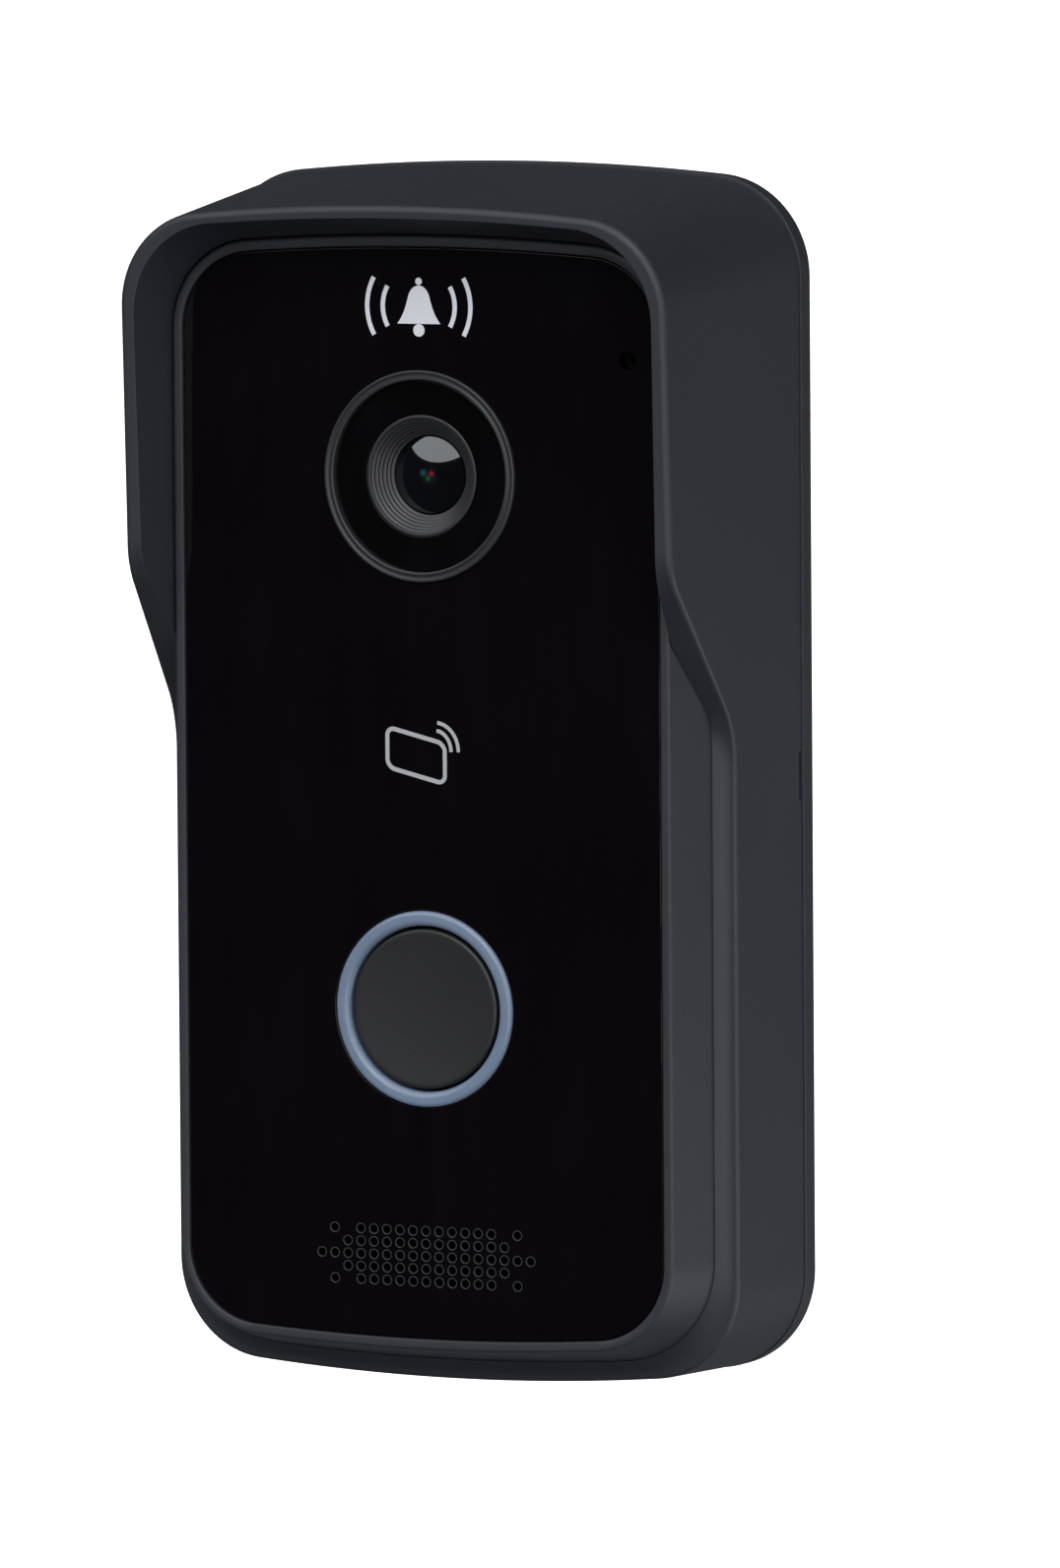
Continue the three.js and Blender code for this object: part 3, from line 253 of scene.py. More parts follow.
def rounded_path(corners, steps=6, closed=True):
    """Path through corners (a, b, radius), each corner with a radius replaced by its arc.

    The arc touches both of the corner's edges, so its centre lies on their bisector at
    radius / sin(half the angle between them).
    """
    points = np.array([corner[:2] for corner in corners], float)
    pieces = []
    for i, (_, _, radius) in enumerate(corners):
        ends = not closed and i in (0, len(corners) - 1)
        if radius <= 0 or ends:
            pieces.append(points[i][None])
            continue
        back = points[i - 1] - points[i]
        on = points[(i + 1) % len(corners)] - points[i]
        back /= np.linalg.norm(back)
        on /= np.linalg.norm(on)
        half = math.acos(np.clip(back @ on, -1, 1)) / 2
        middle = back + on
        centre = points[i] + middle / np.linalg.norm(middle) * radius / math.sin(half)
        first = points[i] + back * radius / math.tan(half) - centre
        last = points[i] + on * radius / math.tan(half) - centre
        start = math.atan2(first[1], first[0])
        turn = (math.atan2(last[1], last[0]) - start + PI) % (2 * PI) - PI
        t = start + turn * np.linspace(0, 1, steps)
        pieces.append(centre + radius * np.stack([np.cos(t), np.sin(t)], 1))
    return np.concatenate(pieces)


# ---------------------------------------------------------------- surfaces
#
# A surface is a pair: rows of points, each row a closed loop, and whether the last row is
# joined to the first.


def at_depth(outline, depth):
    """An outline of (x, z) points placed at a depth, as points in the model's frame."""
    depth = np.broadcast_to(depth, outline.shape[:1])
    return np.stack([outline[:, 0], -depth, outline[:, 1]], 1)


def turned(profile, x, z, closed=True, count=144):
    """A profile of (radius, depth) points swept once round the axis through (x, z)."""
    t = np.linspace(0, 2 * PI, count, endpoint=False)
    radius = profile[:, 0][:, None]
    depth = np.broadcast_to(profile[:, 1][:, None], (len(profile), count))
    rows = np.stack([x + radius * np.cos(t), -depth, z + radius * np.sin(t)], 2)
    return rows, closed


def plate(outline, rear, front, edge=0.2, steps=4):
    """A flat-faced plate from an outline function of the inset, with rounded edges.

    Rows go from the middle of the rear face out to its edge, round it on a quarter circle of
    radius edge, along the side, round the front edge and in to the middle of the front face.
    """
    t = np.linspace(0, PI / 2, steps)
    insets = edge * (1 - np.sin(t))
    rise = edge * (1 - np.cos(t))
    middle = np.broadcast_to(outline(edge).mean(0), outline(edge).shape)
    rows = [at_depth(middle, rear)]
    rows += [at_depth(outline(inset), rear + up) for inset, up in zip(insets, rise)]
    rows += [at_depth(outline(inset), front - up) for inset, up in zip(insets[::-1], rise[::-1])]
    rows.append(at_depth(middle, front))
    return np.array(rows), False


def block(x, z, width, height, rear, front, edge=0.1):
    """A box with slightly rounded corners and edges, centred on (x, z)."""
    def outline(inset):
        corner = max(0.9 * edge, 2 * edge - inset)
        return rounded_rectangle(width - 2 * inset, height - 2 * inset, corner, x, z, 4)
    return plate(outline, rear, front, edge, 3)


def disc(radius, x, z, rear, front, edge=0.1, count=48):
    """A round plate with slightly rounded edges."""
    return plate(lambda inset: circle(radius - inset, x, z, count), rear, front, edge, 3)


def upright(profile, x, depth, count=48):
    """A profile of (radius, z) points swept round the vertical axis at (x, depth)."""
    t = np.linspace(0, 2 * PI, count, endpoint=False)
    radius = profile[:, 0][:, None]
    height = np.broadcast_to(profile[:, 1][:, None], (len(profile), count))
    return np.stack([x + radius * np.cos(t), -depth + radius * np.sin(t), height], 2), False


def ribbon(path, width, depth):
    """A printed stroke: a path of (x, z) points given an even width and a slight thickness.

    Each point is moved half the width to both sides along the path's normal, and the four
    edges of the stroke form the rows of a closed tube whose ends are drawn together.
    """
    way = np.gradient(path, axis=0)
    way /= np.linalg.norm(way, axis=1, keepdims=True)
    side = np.stack([-way[:, 1], way[:, 0]], 1) * width / 2
    low, high = depth - INK_SUNK, depth + INK_RAISED
    edges = [at_depth(path + side, low), at_depth(path - side, low),
             at_depth(path - side, high), at_depth(path + side, high)]
    tube = np.array(edges).transpose(1, 0, 2)
    first = np.broadcast_to(tube[0].mean(0), tube[:1].shape)
    last = np.broadcast_to(tube[-1].mean(0), tube[:1].shape)
    return np.concatenate([first, tube, last]), False


def loop_ribbon(path, width, depth):
    """A printed stroke along a closed path: four offset loops joined into a flat ring."""
    way = np.roll(path, -1, 0) - np.roll(path, 1, 0)
    way /= np.linalg.norm(way, axis=1, keepdims=True)
    side = np.stack([-way[:, 1], way[:, 0]], 1) * width / 2
    low, high = depth - INK_SUNK, depth + INK_RAISED
    return np.array([at_depth(path + side, low), at_depth(path - side, low),
                     at_depth(path - side, high), at_depth(path + side, high)]), True


def mesh_from(name, parts):
    """One mesh from closed grids in millimetres, with poles merged and faces turned outwards."""
    points, faces, start = [], [], 0
    for rows, along in parts:
        m, n = rows.shape[:2]
        i = np.arange(m if along else m - 1)[:, None]
        j = np.arange(n)[None, :]
        a = i * n + j
        b = i * n + (j + 1) % n
        c = (i + 1) % m * n + (j + 1) % n
        d = (i + 1) % m * n + j
        faces.append(start + np.stack([a, b, c, d], 2).reshape(-1, 4))
        points.append(rows.reshape(-1, 3) * MM)
        start += m * n
    mesh = bpy.data.meshes.new(name)
    mesh.from_pydata(np.concatenate(points), [], np.concatenate(faces))
    work = bmesh.new()
    work.from_mesh(mesh)
    bmesh.ops.remove_doubles(work, verts=work.verts, dist=1e-7)
    bmesh.ops.dissolve_degenerate(work, edges=work.edges, dist=1e-8)
    bmesh.ops.recalc_face_normals(work, faces=work.faces)
    work.to_mesh(mesh)
    work.free()
    return mesh


def new_object(name, data):
    """A mesh, light or camera as an object in the scene."""
    made = bpy.data.objects.new(name, data)
    bpy.context.scene.collection.objects.link(made)
    return made


def carve(made, cutters):
    """Cuts closed forms out of a piece and drops the forms."""
    tool = new_object("cutter", mesh_from("cutter", cutters))
    modifier = made.modifiers.new("openings", "BOOLEAN")
    modifier.operation = "DIFFERENCE"
    modifier.solver = "EXACT"
    modifier.object = tool
    graph = bpy.context.evaluated_depsgraph_get()
    cut_mesh = bpy.data.meshes.new_from_object(made.evaluated_get(graph))
    made.modifiers.clear()
    made.data = cut_mesh
    bpy.data.objects.remove(tool)


def piece(name, parts, finish, body="housing", stands_for=(), cutters=(), extras=(), smooth=38):
    """A finished piece: built, carved, shaded, given its finish and joined to its body.

    A finish has the name of its slot in the record. Printed inks have no slot there.
    """
    made = new_object(name, mesh_from(name, parts))
    if cutters:
        carve(made, cutters)
    if extras:
        work = bmesh.new()
        work.from_mesh(made.data)
        work.from_mesh(mesh_from("extras", extras))
        work.to_mesh(made.data)
        work.free()
    made.data.shade_smooth()
    made.data.set_sharp_from_angle(angle=math.radians(smooth))
    shading = made.modifiers.new("even shading", "WEIGHTED_NORMAL")
    shading.keep_sharp = True
    made.data.materials.clear()
    made.data.materials.append(finishes[finish])
    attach(made, body)
    if stands_for:
        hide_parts(*stands_for)
    return made


# ---------------------------------------------------------------- shader node groups


def linear(red, green, blue):
    """A display colour of 0 to 255 as the linear colour that a shader takes."""
    share = np.array([red, green, blue]) / 255
    value = np.where(share <= 0.04045, share / 12.92, ((share + 0.055) / 1.055) ** 2.4)
    return (*value.tolist(), 1)


def new_group(name, inputs, outputs):
    """An empty shader group with named float or vector sockets."""
    group = bpy.data.node_groups.new(name, "ShaderNodeTree")
    for label, kind, value in inputs:
        socket = group.interface.new_socket(label, in_out="INPUT", socket_type=kind)
        if value is not None:
            socket.default_value = value
    for label, kind in outputs:
        group.interface.new_socket(label, in_out="OUTPUT", socket_type=kind)
    return group, group.nodes.new("NodeGroupInput"), group.nodes.new("NodeGroupOutput")


def feed(tree, socket, value):
    """Links a socket to the output given, or sets the constant given on it."""
    if isinstance(value, bpy.types.NodeSocket):
        tree.links.new(value, socket)
    else:
        socket.default_value = value


def add_node(tree, kind, inputs=(), **settings):
    """A node with its settings, and with each named input set to a value or linked."""
    node = tree.nodes.new(kind)
    for key, value in settings.items():
        setattr(node, key, value)
    for key, value in dict(inputs).items():
        feed(tree, node.inputs[key], value)
    return node


def moulded_grain():
    """Spark-eroded mould texture: fine pits over soft waves, and a broad mottle."""
    group, given, result = new_group(
        "moulded grain",
        [("Vector", "NodeSocketVector", None), ("Grain", "NodeSocketFloat", 3000),
         ("Breadth", "NodeSocketFloat", 40)],
        [("Height", "NodeSocketFloat"), ("Mottle", "NodeSocketFloat")],
    )
    fine = add_node(group, "ShaderNodeTexNoise", {
        "Vector": given.outputs["Vector"], "Scale": given.outputs["Grain"],
        "Detail": 2, "Roughness": 0.55})
    pits = add_node(group, "ShaderNodeTexVoronoi", {
        "Vector": given.outputs["Vector"], "Scale": given.outputs["Grain"]})
    broad = add_node(group, "ShaderNodeTexNoise", {
        "Vector": given.outputs["Vector"], "Scale": given.outputs["Breadth"],
        "Detail": 4, "Roughness": 0.6})
    height = add_node(group, "ShaderNodeMath", {
        0: fine.outputs["Fac"], 1: pits.outputs["Distance"]}, operation="MULTIPLY")
    group.links.new(height.outputs[0], result.inputs["Height"])
    group.links.new(broad.outputs["Fac"], result.inputs["Mottle"])
    return group


def settled_dust():
    """Mask of fine dust on surfaces that face up, broken up by noise."""
    group, given, result = new_group(
        "settled dust",
        [("Vector", "NodeSocketVector", None), ("Amount", "NodeSocketFloat", 0.2)],
        [("Mask", "NodeSocketFloat")],
    )
    geometry = add_node(group, "ShaderNodeNewGeometry")
    parts = add_node(group, "ShaderNodeSeparateXYZ", {0: geometry.outputs["Normal"]})
    upward = add_node(group, "ShaderNodeMapRange", {
        "Value": parts.outputs["Z"], "From Min": 0.35, "From Max": 1.0})
    specks = add_node(group, "ShaderNodeTexNoise", {
        "Vector": given.outputs["Vector"], "Scale": 900, "Detail": 6, "Roughness": 0.7})
    sparse = add_node(group, "ShaderNodeMapRange", {
        "Value": specks.outputs["Fac"], "From Min": 0.42, "From Max": 0.75})
    both = add_node(group, "ShaderNodeMath", {
        0: upward.outputs[0], 1: sparse.outputs[0]}, operation="MULTIPLY")
    scaled = add_node(group, "ShaderNodeMath", {
        0: both.outputs[0], 1: given.outputs["Amount"]}, operation="MULTIPLY")
    group.links.new(scaled.outputs[0], result.inputs["Mask"])
    return group


def wiped_smudges():
    """Roughness mask of a wiped glossy face: long faint streaks and a few soft patches."""
    group, given, result = new_group(
        "wiped smudges",
        [("Vector", "NodeSocketVector", None)],
        [("Mask", "NodeSocketFloat")],
    )
    tilted = add_node(group, "ShaderNodeMapping", {
        "Vector": given.outputs["Vector"], "Rotation": (0, math.radians(24), 0),
        "Scale": (1, 1, 0.12)})
    streaks = add_node(group, "ShaderNodeTexNoise", {
        "Vector": tilted.outputs[0], "Scale": 420, "Detail": 5, "Roughness": 0.6})
    patches = add_node(group, "ShaderNodeTexNoise", {
        "Vector": given.outputs["Vector"], "Scale": 38, "Detail": 3})
    both = add_node(group, "ShaderNodeMath", {
        0: streaks.outputs["Fac"], 1: patches.outputs["Fac"]}, operation="MULTIPLY")
    spread = add_node(group, "ShaderNodeMapRange", {
        "Value": both.outputs[0], "From Min": 0.18, "From Max": 0.42})
    group.links.new(spread.outputs[0], result.inputs["Mask"])
    return group


GRAIN = moulded_grain()
DUST = settled_dust()
SMUDGES = wiped_smudges()


# ---------------------------------------------------------------- finishes


def start_finish(name):
    """A material with its Principled shader and its object coordinates."""
    material = bpy.data.materials.new(name)
    material.use_nodes = True
    tree = material.node_tree
    shader = tree.nodes["Principled BSDF"]
    place = tree.nodes.new("ShaderNodeTexCoord").outputs["Object"]
    return material, tree, shader, place


def placed(tree, group, inputs):
    """A shared shader group placed in a material, with its inputs set or linked."""
    return add_node(tree, "ShaderNodeGroup", inputs, node_tree=group)


def blend_colours(tree, share, first, second):
    """A colour mixed from two colours by a share that changes over the surface."""
    mix = add_node(tree, "ShaderNodeMix", {"Factor": share}, data_type="RGBA")
    feed(tree, mix.inputs[6], first)
    feed(tree, mix.inputs[7], second)
    return mix.outputs[2]


def spread_values(tree, share, low, high):
    """A value that runs from low to high as a share of the surface does from 0 to 1."""
    node = add_node(tree, "ShaderNodeMapRange", {"Value": share, "To Min": low, "To Max": high})
    return node.outputs[0]


def raise_surface(tree, shader, height, strength, distance):
    """Relief too fine to model, from a height pattern."""
    bump = add_node(tree, "ShaderNodeBump", {
        "Height": height, "Strength": strength, "Distance": distance})
    tree.links.new(bump.outputs[0], shader.inputs["Normal"])


def moulded(name, colour, roughness, contrast=0.12, grain=3000, relief=0.25, dust=0.0,
            specular=0.5, metallic=0.0, coat=0.0, breadth=40, depth=0.00005):
    """Moulded or cast finish: a mottled colour and sheen over a fine grain."""
    material, tree, shader, place = start_finish(name)
    texture = placed(tree, GRAIN, {"Vector": place, "Grain": grain, "Breadth": breadth})
    dark = tuple(value * (1 - contrast) for value in colour[:3]) + (1,)
    light = tuple(value * (1 + contrast) for value in colour[:3]) + (1,)
    shade = blend_colours(tree, texture.outputs["Mottle"], dark, light)
    if dust:
        mask = placed(tree, DUST, {"Vector": place, "Amount": dust}).outputs["Mask"]
        shade = blend_colours(tree, mask, shade, linear(150, 148, 142))
    tree.links.new(shade, shader.inputs["Base Color"])
    sheen = spread_values(tree, texture.outputs["Mottle"], roughness - 0.08, roughness + 0.08)
    tree.links.new(sheen, shader.inputs["Roughness"])
    shader.inputs["Specular IOR Level"].default_value = specular
    shader.inputs["Metallic"].default_value = metallic
    if coat:
        shader.inputs["Coat Weight"].default_value = coat
        shader.inputs["Coat Roughness"].default_value = 0.08
    raise_surface(tree, shader, texture.outputs["Height"], relief, depth)
    return material


def gloss_panel(name, colour, low, high):
    """Black acrylic: a deep gloss that changes a little where it was wiped."""
    material, tree, shader, place = start_finish(name)
    mask = placed(tree, SMUDGES, {"Vector": place}).outputs["Mask"]
    tree.links.new(spread_values(tree, mask, low, high), shader.inputs["Roughness"])
    tree.links.new(blend_colours(tree, mask, colour, linear(11, 9, 12)),
                   shader.inputs["Base Color"])
    waves = add_node(tree, "ShaderNodeTexNoise", {"Vector": place, "Scale": 25, "Detail": 1})
    raise_surface(tree, shader, waves.outputs["Fac"], 0.01, 0.0001)
    shader.inputs["Specular IOR Level"].default_value = 0.42
    return material


def coated_glass(name):
    """Camera lens: near-black coated glass, its base colour lighter and bluer towards grazing
    angles as a painted sheen, and painted glints: faint red, green and teal emission spots that
    stand in for reflections of the elements behind it, each a soft round spot at its own place."""
    material, tree, shader, place = start_finish(name)
    # painted sheen: the base colour turns lighter and bluer towards grazing angles
    facing = add_node(tree, "ShaderNodeLayerWeight", {"Blend": 0.35})
    painted_edge_sheen = blend_colours(tree, facing.outputs["Facing"], linear(5, 4, 7), linear(22, 26, 36))
    tree.links.new(painted_edge_sheen, shader.inputs["Base Color"])
    dust = add_node(tree, "ShaderNodeTexNoise", {"Vector": place, "Scale": 1500, "Detail": 3})
    tree.links.new(spread_values(tree, dust.outputs["Fac"], 0.0, 0.05),
                   shader.inputs["Roughness"])
    # painted glints: soft emission spots that stand in for reflections of the lens elements behind
    # the front glass
    glow = (0, 0, 0, 1)
    for x, z, radius, colour in (
        (0.3, -0.1, 1.5, linear(20, 24, 26)), (-0.5, 0.3, 0.6, linear(38, 74, 78)),
        (0.55, 0.2, 0.5, linear(150, 30, 44)), (0.1, -0.35, 0.45, linear(30, 86, 44)),
    ):
        spot = Vector((lens.x + x, -lens.front - 0.9, lens.z + z)) * MM
        away = add_node(tree, "ShaderNodeVectorMath", {0: place, 1: spot}, operation="DISTANCE")
        share = add_node(tree, "ShaderNodeMapRange", {
            "Value": away.outputs["Value"], "From Min": radius * MM, "From Max": 0},
            interpolation_type="SMOOTHSTEP")
        glow = blend_colours(tree, share.outputs[0], glow, colour)
    tree.links.new(glow, shader.inputs["Emission Color"])
    shader.inputs["Emission Strength"].default_value = 1.0
    shader.inputs["Coat Weight"].default_value = 1.0
    shader.inputs["Coat Roughness"].default_value = 0.06
    shader.inputs["Coat Tint"].default_value = linear(214, 236, 250)
    shader.inputs["Coat IOR"].default_value = 1.9
    return material


def frosted_guide(name):
    """Light guide: grey blue translucent plastic, a little clearer in places."""
    material, tree, shader, place = start_finish(name)
    texture = placed(tree, GRAIN, {"Vector": place, "Grain": 2200, "Breadth": 90})
    shade = blend_colours(tree, texture.outputs["Mottle"], linear(108, 125, 149),
                          linear(120, 137, 161))
    tree.links.new(shade, shader.inputs["Base Color"])
    tree.links.new(spread_values(tree, texture.outputs["Mottle"], 0.22, 0.36),
                   shader.inputs["Roughness"])
    shader.inputs["Subsurface Weight"].default_value = 0.15
    shader.inputs["Subsurface Scale"].default_value = 0.0008
    shader.inputs["Coat Weight"].default_value = 0.4
    shader.inputs["Coat Roughness"].default_value = 0.2
    raise_surface(tree, shader, texture.outputs["Height"], 0.1, 0.00003)
    return material


def printed_ink(name, colour):
    """Screen-printed ink with a slightly uneven edge of gloss."""
    material, tree, shader, place = start_finish(name)
    noise = add_node(tree, "ShaderNodeTexNoise", {"Vector": place, "Scale": 2500, "Detail": 3})
    dark = tuple(value * 0.9 for value in colour[:3]) + (1,)
    tree.links.new(blend_colours(tree, noise.outputs["Fac"], dark, colour),
                   shader.inputs["Base Color"])
    tree.links.new(spread_values(tree, noise.outputs["Fac"], 0.35, 0.5),
                   shader.inputs["Roughness"])
    return material


def circuit_board(name):
    """Green solder mask over copper tracks: two crossed sets of tracks and round pads."""
    material, tree, shader, place = start_finish(name)
    upright_map = add_node(tree, "ShaderNodeMapping", {
        "Vector": place, "Rotation": (PI / 2, 0, 0)})
    tracks = add_node(tree, "ShaderNodeTexBrick", {
        "Vector": upright_map.outputs[0], "Scale": 260, "Mortar Size": 0.06,
        "Brick Width": 1.6, "Row Height": 0.35,
        "Color1": linear(14, 66, 40), "Color2": linear(18, 78, 48),
        "Mortar": linear(40, 110, 66)})
    pads = add_node(tree, "ShaderNodeTexVoronoi", {
        "Vector": upright_map.outputs[0], "Scale": 420, "Randomness": 0.35})
    on_pad = add_node(tree, "ShaderNodeMath", {0: pads.outputs["Distance"], 1: 0.17},
                      operation="LESS_THAN")
    shade = blend_colours(tree, on_pad.outputs[0], tracks.outputs["Color"],
                          linear(196, 170, 110))
    tree.links.new(shade, shader.inputs["Base Color"])
    tree.links.new(spread_values(tree, on_pad.outputs[0], 0.42, 0.25),
                   shader.inputs["Roughness"])
    tree.links.new(on_pad.outputs[0], shader.inputs["Metallic"])
    raise_surface(tree, shader, tracks.outputs["Fac"], 0.3, 0.00004)
    return material


def woven_cloth(name):
    """Acoustic cloth: two crossed sets of fine threads."""
    material, tree, shader, place = start_finish(name)
    warp = add_node(tree, "ShaderNodeTexWave", {"Vector": place, "Scale": 1400},
                    bands_direction="X")
    weft = add_node(tree, "ShaderNodeTexWave", {"Vector": place, "Scale": 1400},
                    bands_direction="Z")
    threads = add_node(tree, "ShaderNodeMath", {
        0: warp.outputs["Fac"], 1: weft.outputs["Fac"]}, operation="MULTIPLY")
    tree.links.new(blend_colours(tree, threads.outputs[0], linear(14, 14, 15),
                                 linear(44, 44, 46)), shader.inputs["Base Color"])
    tree.links.new(spread_values(tree, threads.outputs[0], 0.95, 0.8),
                   shader.inputs["Roughness"])
    raise_surface(tree, shader, threads.outputs[0], 0.6, 0.0001)
    return material


def brushed_metal(name, colour, roughness, stretch=(1, 1, 12)):
    """Drawn or plated metal: fine streaks in one direction."""
    material, tree, shader, place = start_finish(name)
    mapped = add_node(tree, "ShaderNodeMapping", {"Vector": place, "Scale": stretch})
    streaks = add_node(tree, "ShaderNodeTexNoise", {
        "Vector": mapped.outputs[0], "Scale": 1100, "Detail": 4, "Roughness": 0.6})
    dark = tuple(value * 0.8 for value in colour[:3]) + (1,)
    tree.links.new(blend_colours(tree, streaks.outputs["Fac"], dark, colour),
                   shader.inputs["Base Color"])
    tree.links.new(spread_values(tree, streaks.outputs["Fac"], roughness - 0.1,
                                 roughness + 0.12), shader.inputs["Roughness"])
    shader.inputs["Metallic"].default_value = 1.0
    raise_surface(tree, shader, streaks.outputs["Fac"], 0.2, 0.00003)
    return material


finishes = {
    "shell_plastic": moulded("shell plastic", linear(44, 46, 53), 0.5, contrast=0.06,
                             grain=4200, relief=0.35, dust=0.05),
    "panel_acrylic": gloss_panel("panel acrylic", linear(9, 6, 9), 0.05, 0.09),
    "window_acrylic": gloss_panel("window acrylic", linear(5, 5, 6), 0.03, 0.08),
    "cap_plastic": moulded("cap plastic", linear(35, 36, 39), 0.42, contrast=0.05,
                           grain=5200, relief=0.3),
    "light_guide": frosted_guide("light guide"),
    "trim_plastic": moulded("trim plastic", linear(46, 47, 50), 0.34, contrast=0.06,
                            grain=5000, relief=0.15),
    "lens_glass": coated_glass("coated lens glass"),
    "anodised_metal": moulded("black anodised metal", linear(30, 30, 33), 0.38, metallic=0.7,
                              relief=0.15),
    "circuit_board": circuit_board("circuit board"),
    "chip_plastic": moulded("chip epoxy", linear(28, 28, 30), 0.6, grain=6000, relief=0.3),
    "copper_foil": brushed_metal("copper foil", linear(196, 124, 84), 0.34),
    "steel": brushed_metal("zinc plated steel", linear(190, 190, 188), 0.34),
    "black_screw_steel": brushed_metal("blackened steel", linear(70, 70, 74), 0.4),
    "rubber": moulded("silicone rubber", linear(30, 30, 31), 0.78, grain=2500, relief=0.2,
                      dust=0.08, specular=0.35),
    "speaker_paper": moulded("speaker paper", linear(52, 49, 46), 0.9, contrast=0.2,
                             grain=1800, relief=0.6, specular=0.2),
    "dust_cloth": woven_cloth("dust cloth"),
    "terminal_plastic": moulded("terminal block plastic", linear(40, 118, 74), 0.5,
                                grain=3500, relief=0.25),
    "connector_plastic": moulded("connector nylon", linear(214, 210, 198), 0.5, contrast=0.04,
                                 grain=3000, relief=0.15),
    "led_lens": moulded("led lens", linear(212, 208, 190), 0.18, contrast=0.05, grain=2000,
                        relief=0.05, coat=0.6),
    "ink_white": printed_ink("white ink", linear(226, 230, 238)),
    "ink_grey": printed_ink("grey ink", linear(176, 178, 183)),
    # painted highlight: a pale grey finish for the ring round each speaker hole, standing in for
    # the light its edge catches
    "hole_edge_highlight": moulded("painted hole edge highlight", linear(52, 53, 57), 0.5, grain=6000, relief=0.2),
}


# ---------------------------------------------------------------- shell and visor


def front_depth(z):
    """Depth of the shell's front edge at a height: the lip, the sweep and the leaning rim."""
    beyond = HALF_HEIGHT + 10

    def rim(height):
        return VISOR_DEPTH - RIM_LEAN * (HALF_HEIGHT - height)

    side_view = rounded_path([
        (LIP_DEPTH, -beyond, 0),
        (LIP_DEPTH, SWEEP_BOTTOM, SWEEP_LOWER_RADIUS),
        (rim(SWEEP_TOP), SWEEP_TOP, SWEEP_UPPER_RADIUS),
        (rim(beyond), beyond, 0),
    ], steps=20, closed=False)
    return np.interp(z, side_view[:, 1], side_view[:, 0])


def drafted(outline, depth):
    """An outline drawn in towards the front: x by the side draft, z by the end's draft."""
    x, z = outline[:, 0], outline[:, 1]
    draft = np.where(z > 0, TOP_DRAFT, BOTTOM_DRAFT)
    return np.stack([
        x * (1 - SIDE_DRAFT * depth / HALF_WIDTH),
        z * (1 - draft * depth / HALF_HEIGHT),
    ], 1)


def pocket_at(outline, depth):
    """The pocket's outline at a depth: it follows the housing's skirt to the bezel, then
    widens evenly to the thin rim."""
    outwards = unit_outline(-SLIP - 1) - unit_outline(-SLIP)
    closer = np.clip(skirt(depth) - CLOSE_FIT, 0, None)
    outline = outline + outwards * np.broadcast_to(closer, len(outline))[:, None]
    rim_half = HALF_WIDTH - SIDE_DRAFT * VISOR_DEPTH - RIM_THICKNESS
    rim_top = HALF_HEIGHT - TOP_DRAFT * VISOR_DEPTH - ROOF_THICKNESS
    pocket_half = housing.right + SLIP
    pocket_top = housing.top + SLIP
    share = np.clip((depth - BEZEL_DEPTH) / (VISOR_DEPTH - BEZEL_DEPTH), 0, None)
    x, z = outline[:, 0], outline[:, 1]
    return np.stack([
        x * (1 + share * (rim_half / pocket_half - 1)),
        np.where(z > 0, z * (1 + share * (rim_top / pocket_top - 1)), z),
    ], 1)


def settle(outline, place):
    """The depth at which a wall meets the shell's front edge, found by repeated trial."""
    depth = np.full(len(outline), LIP_DEPTH)
    for _ in range(12):
        depth = front_depth(place(outline, depth)[:, 1])
    return depth


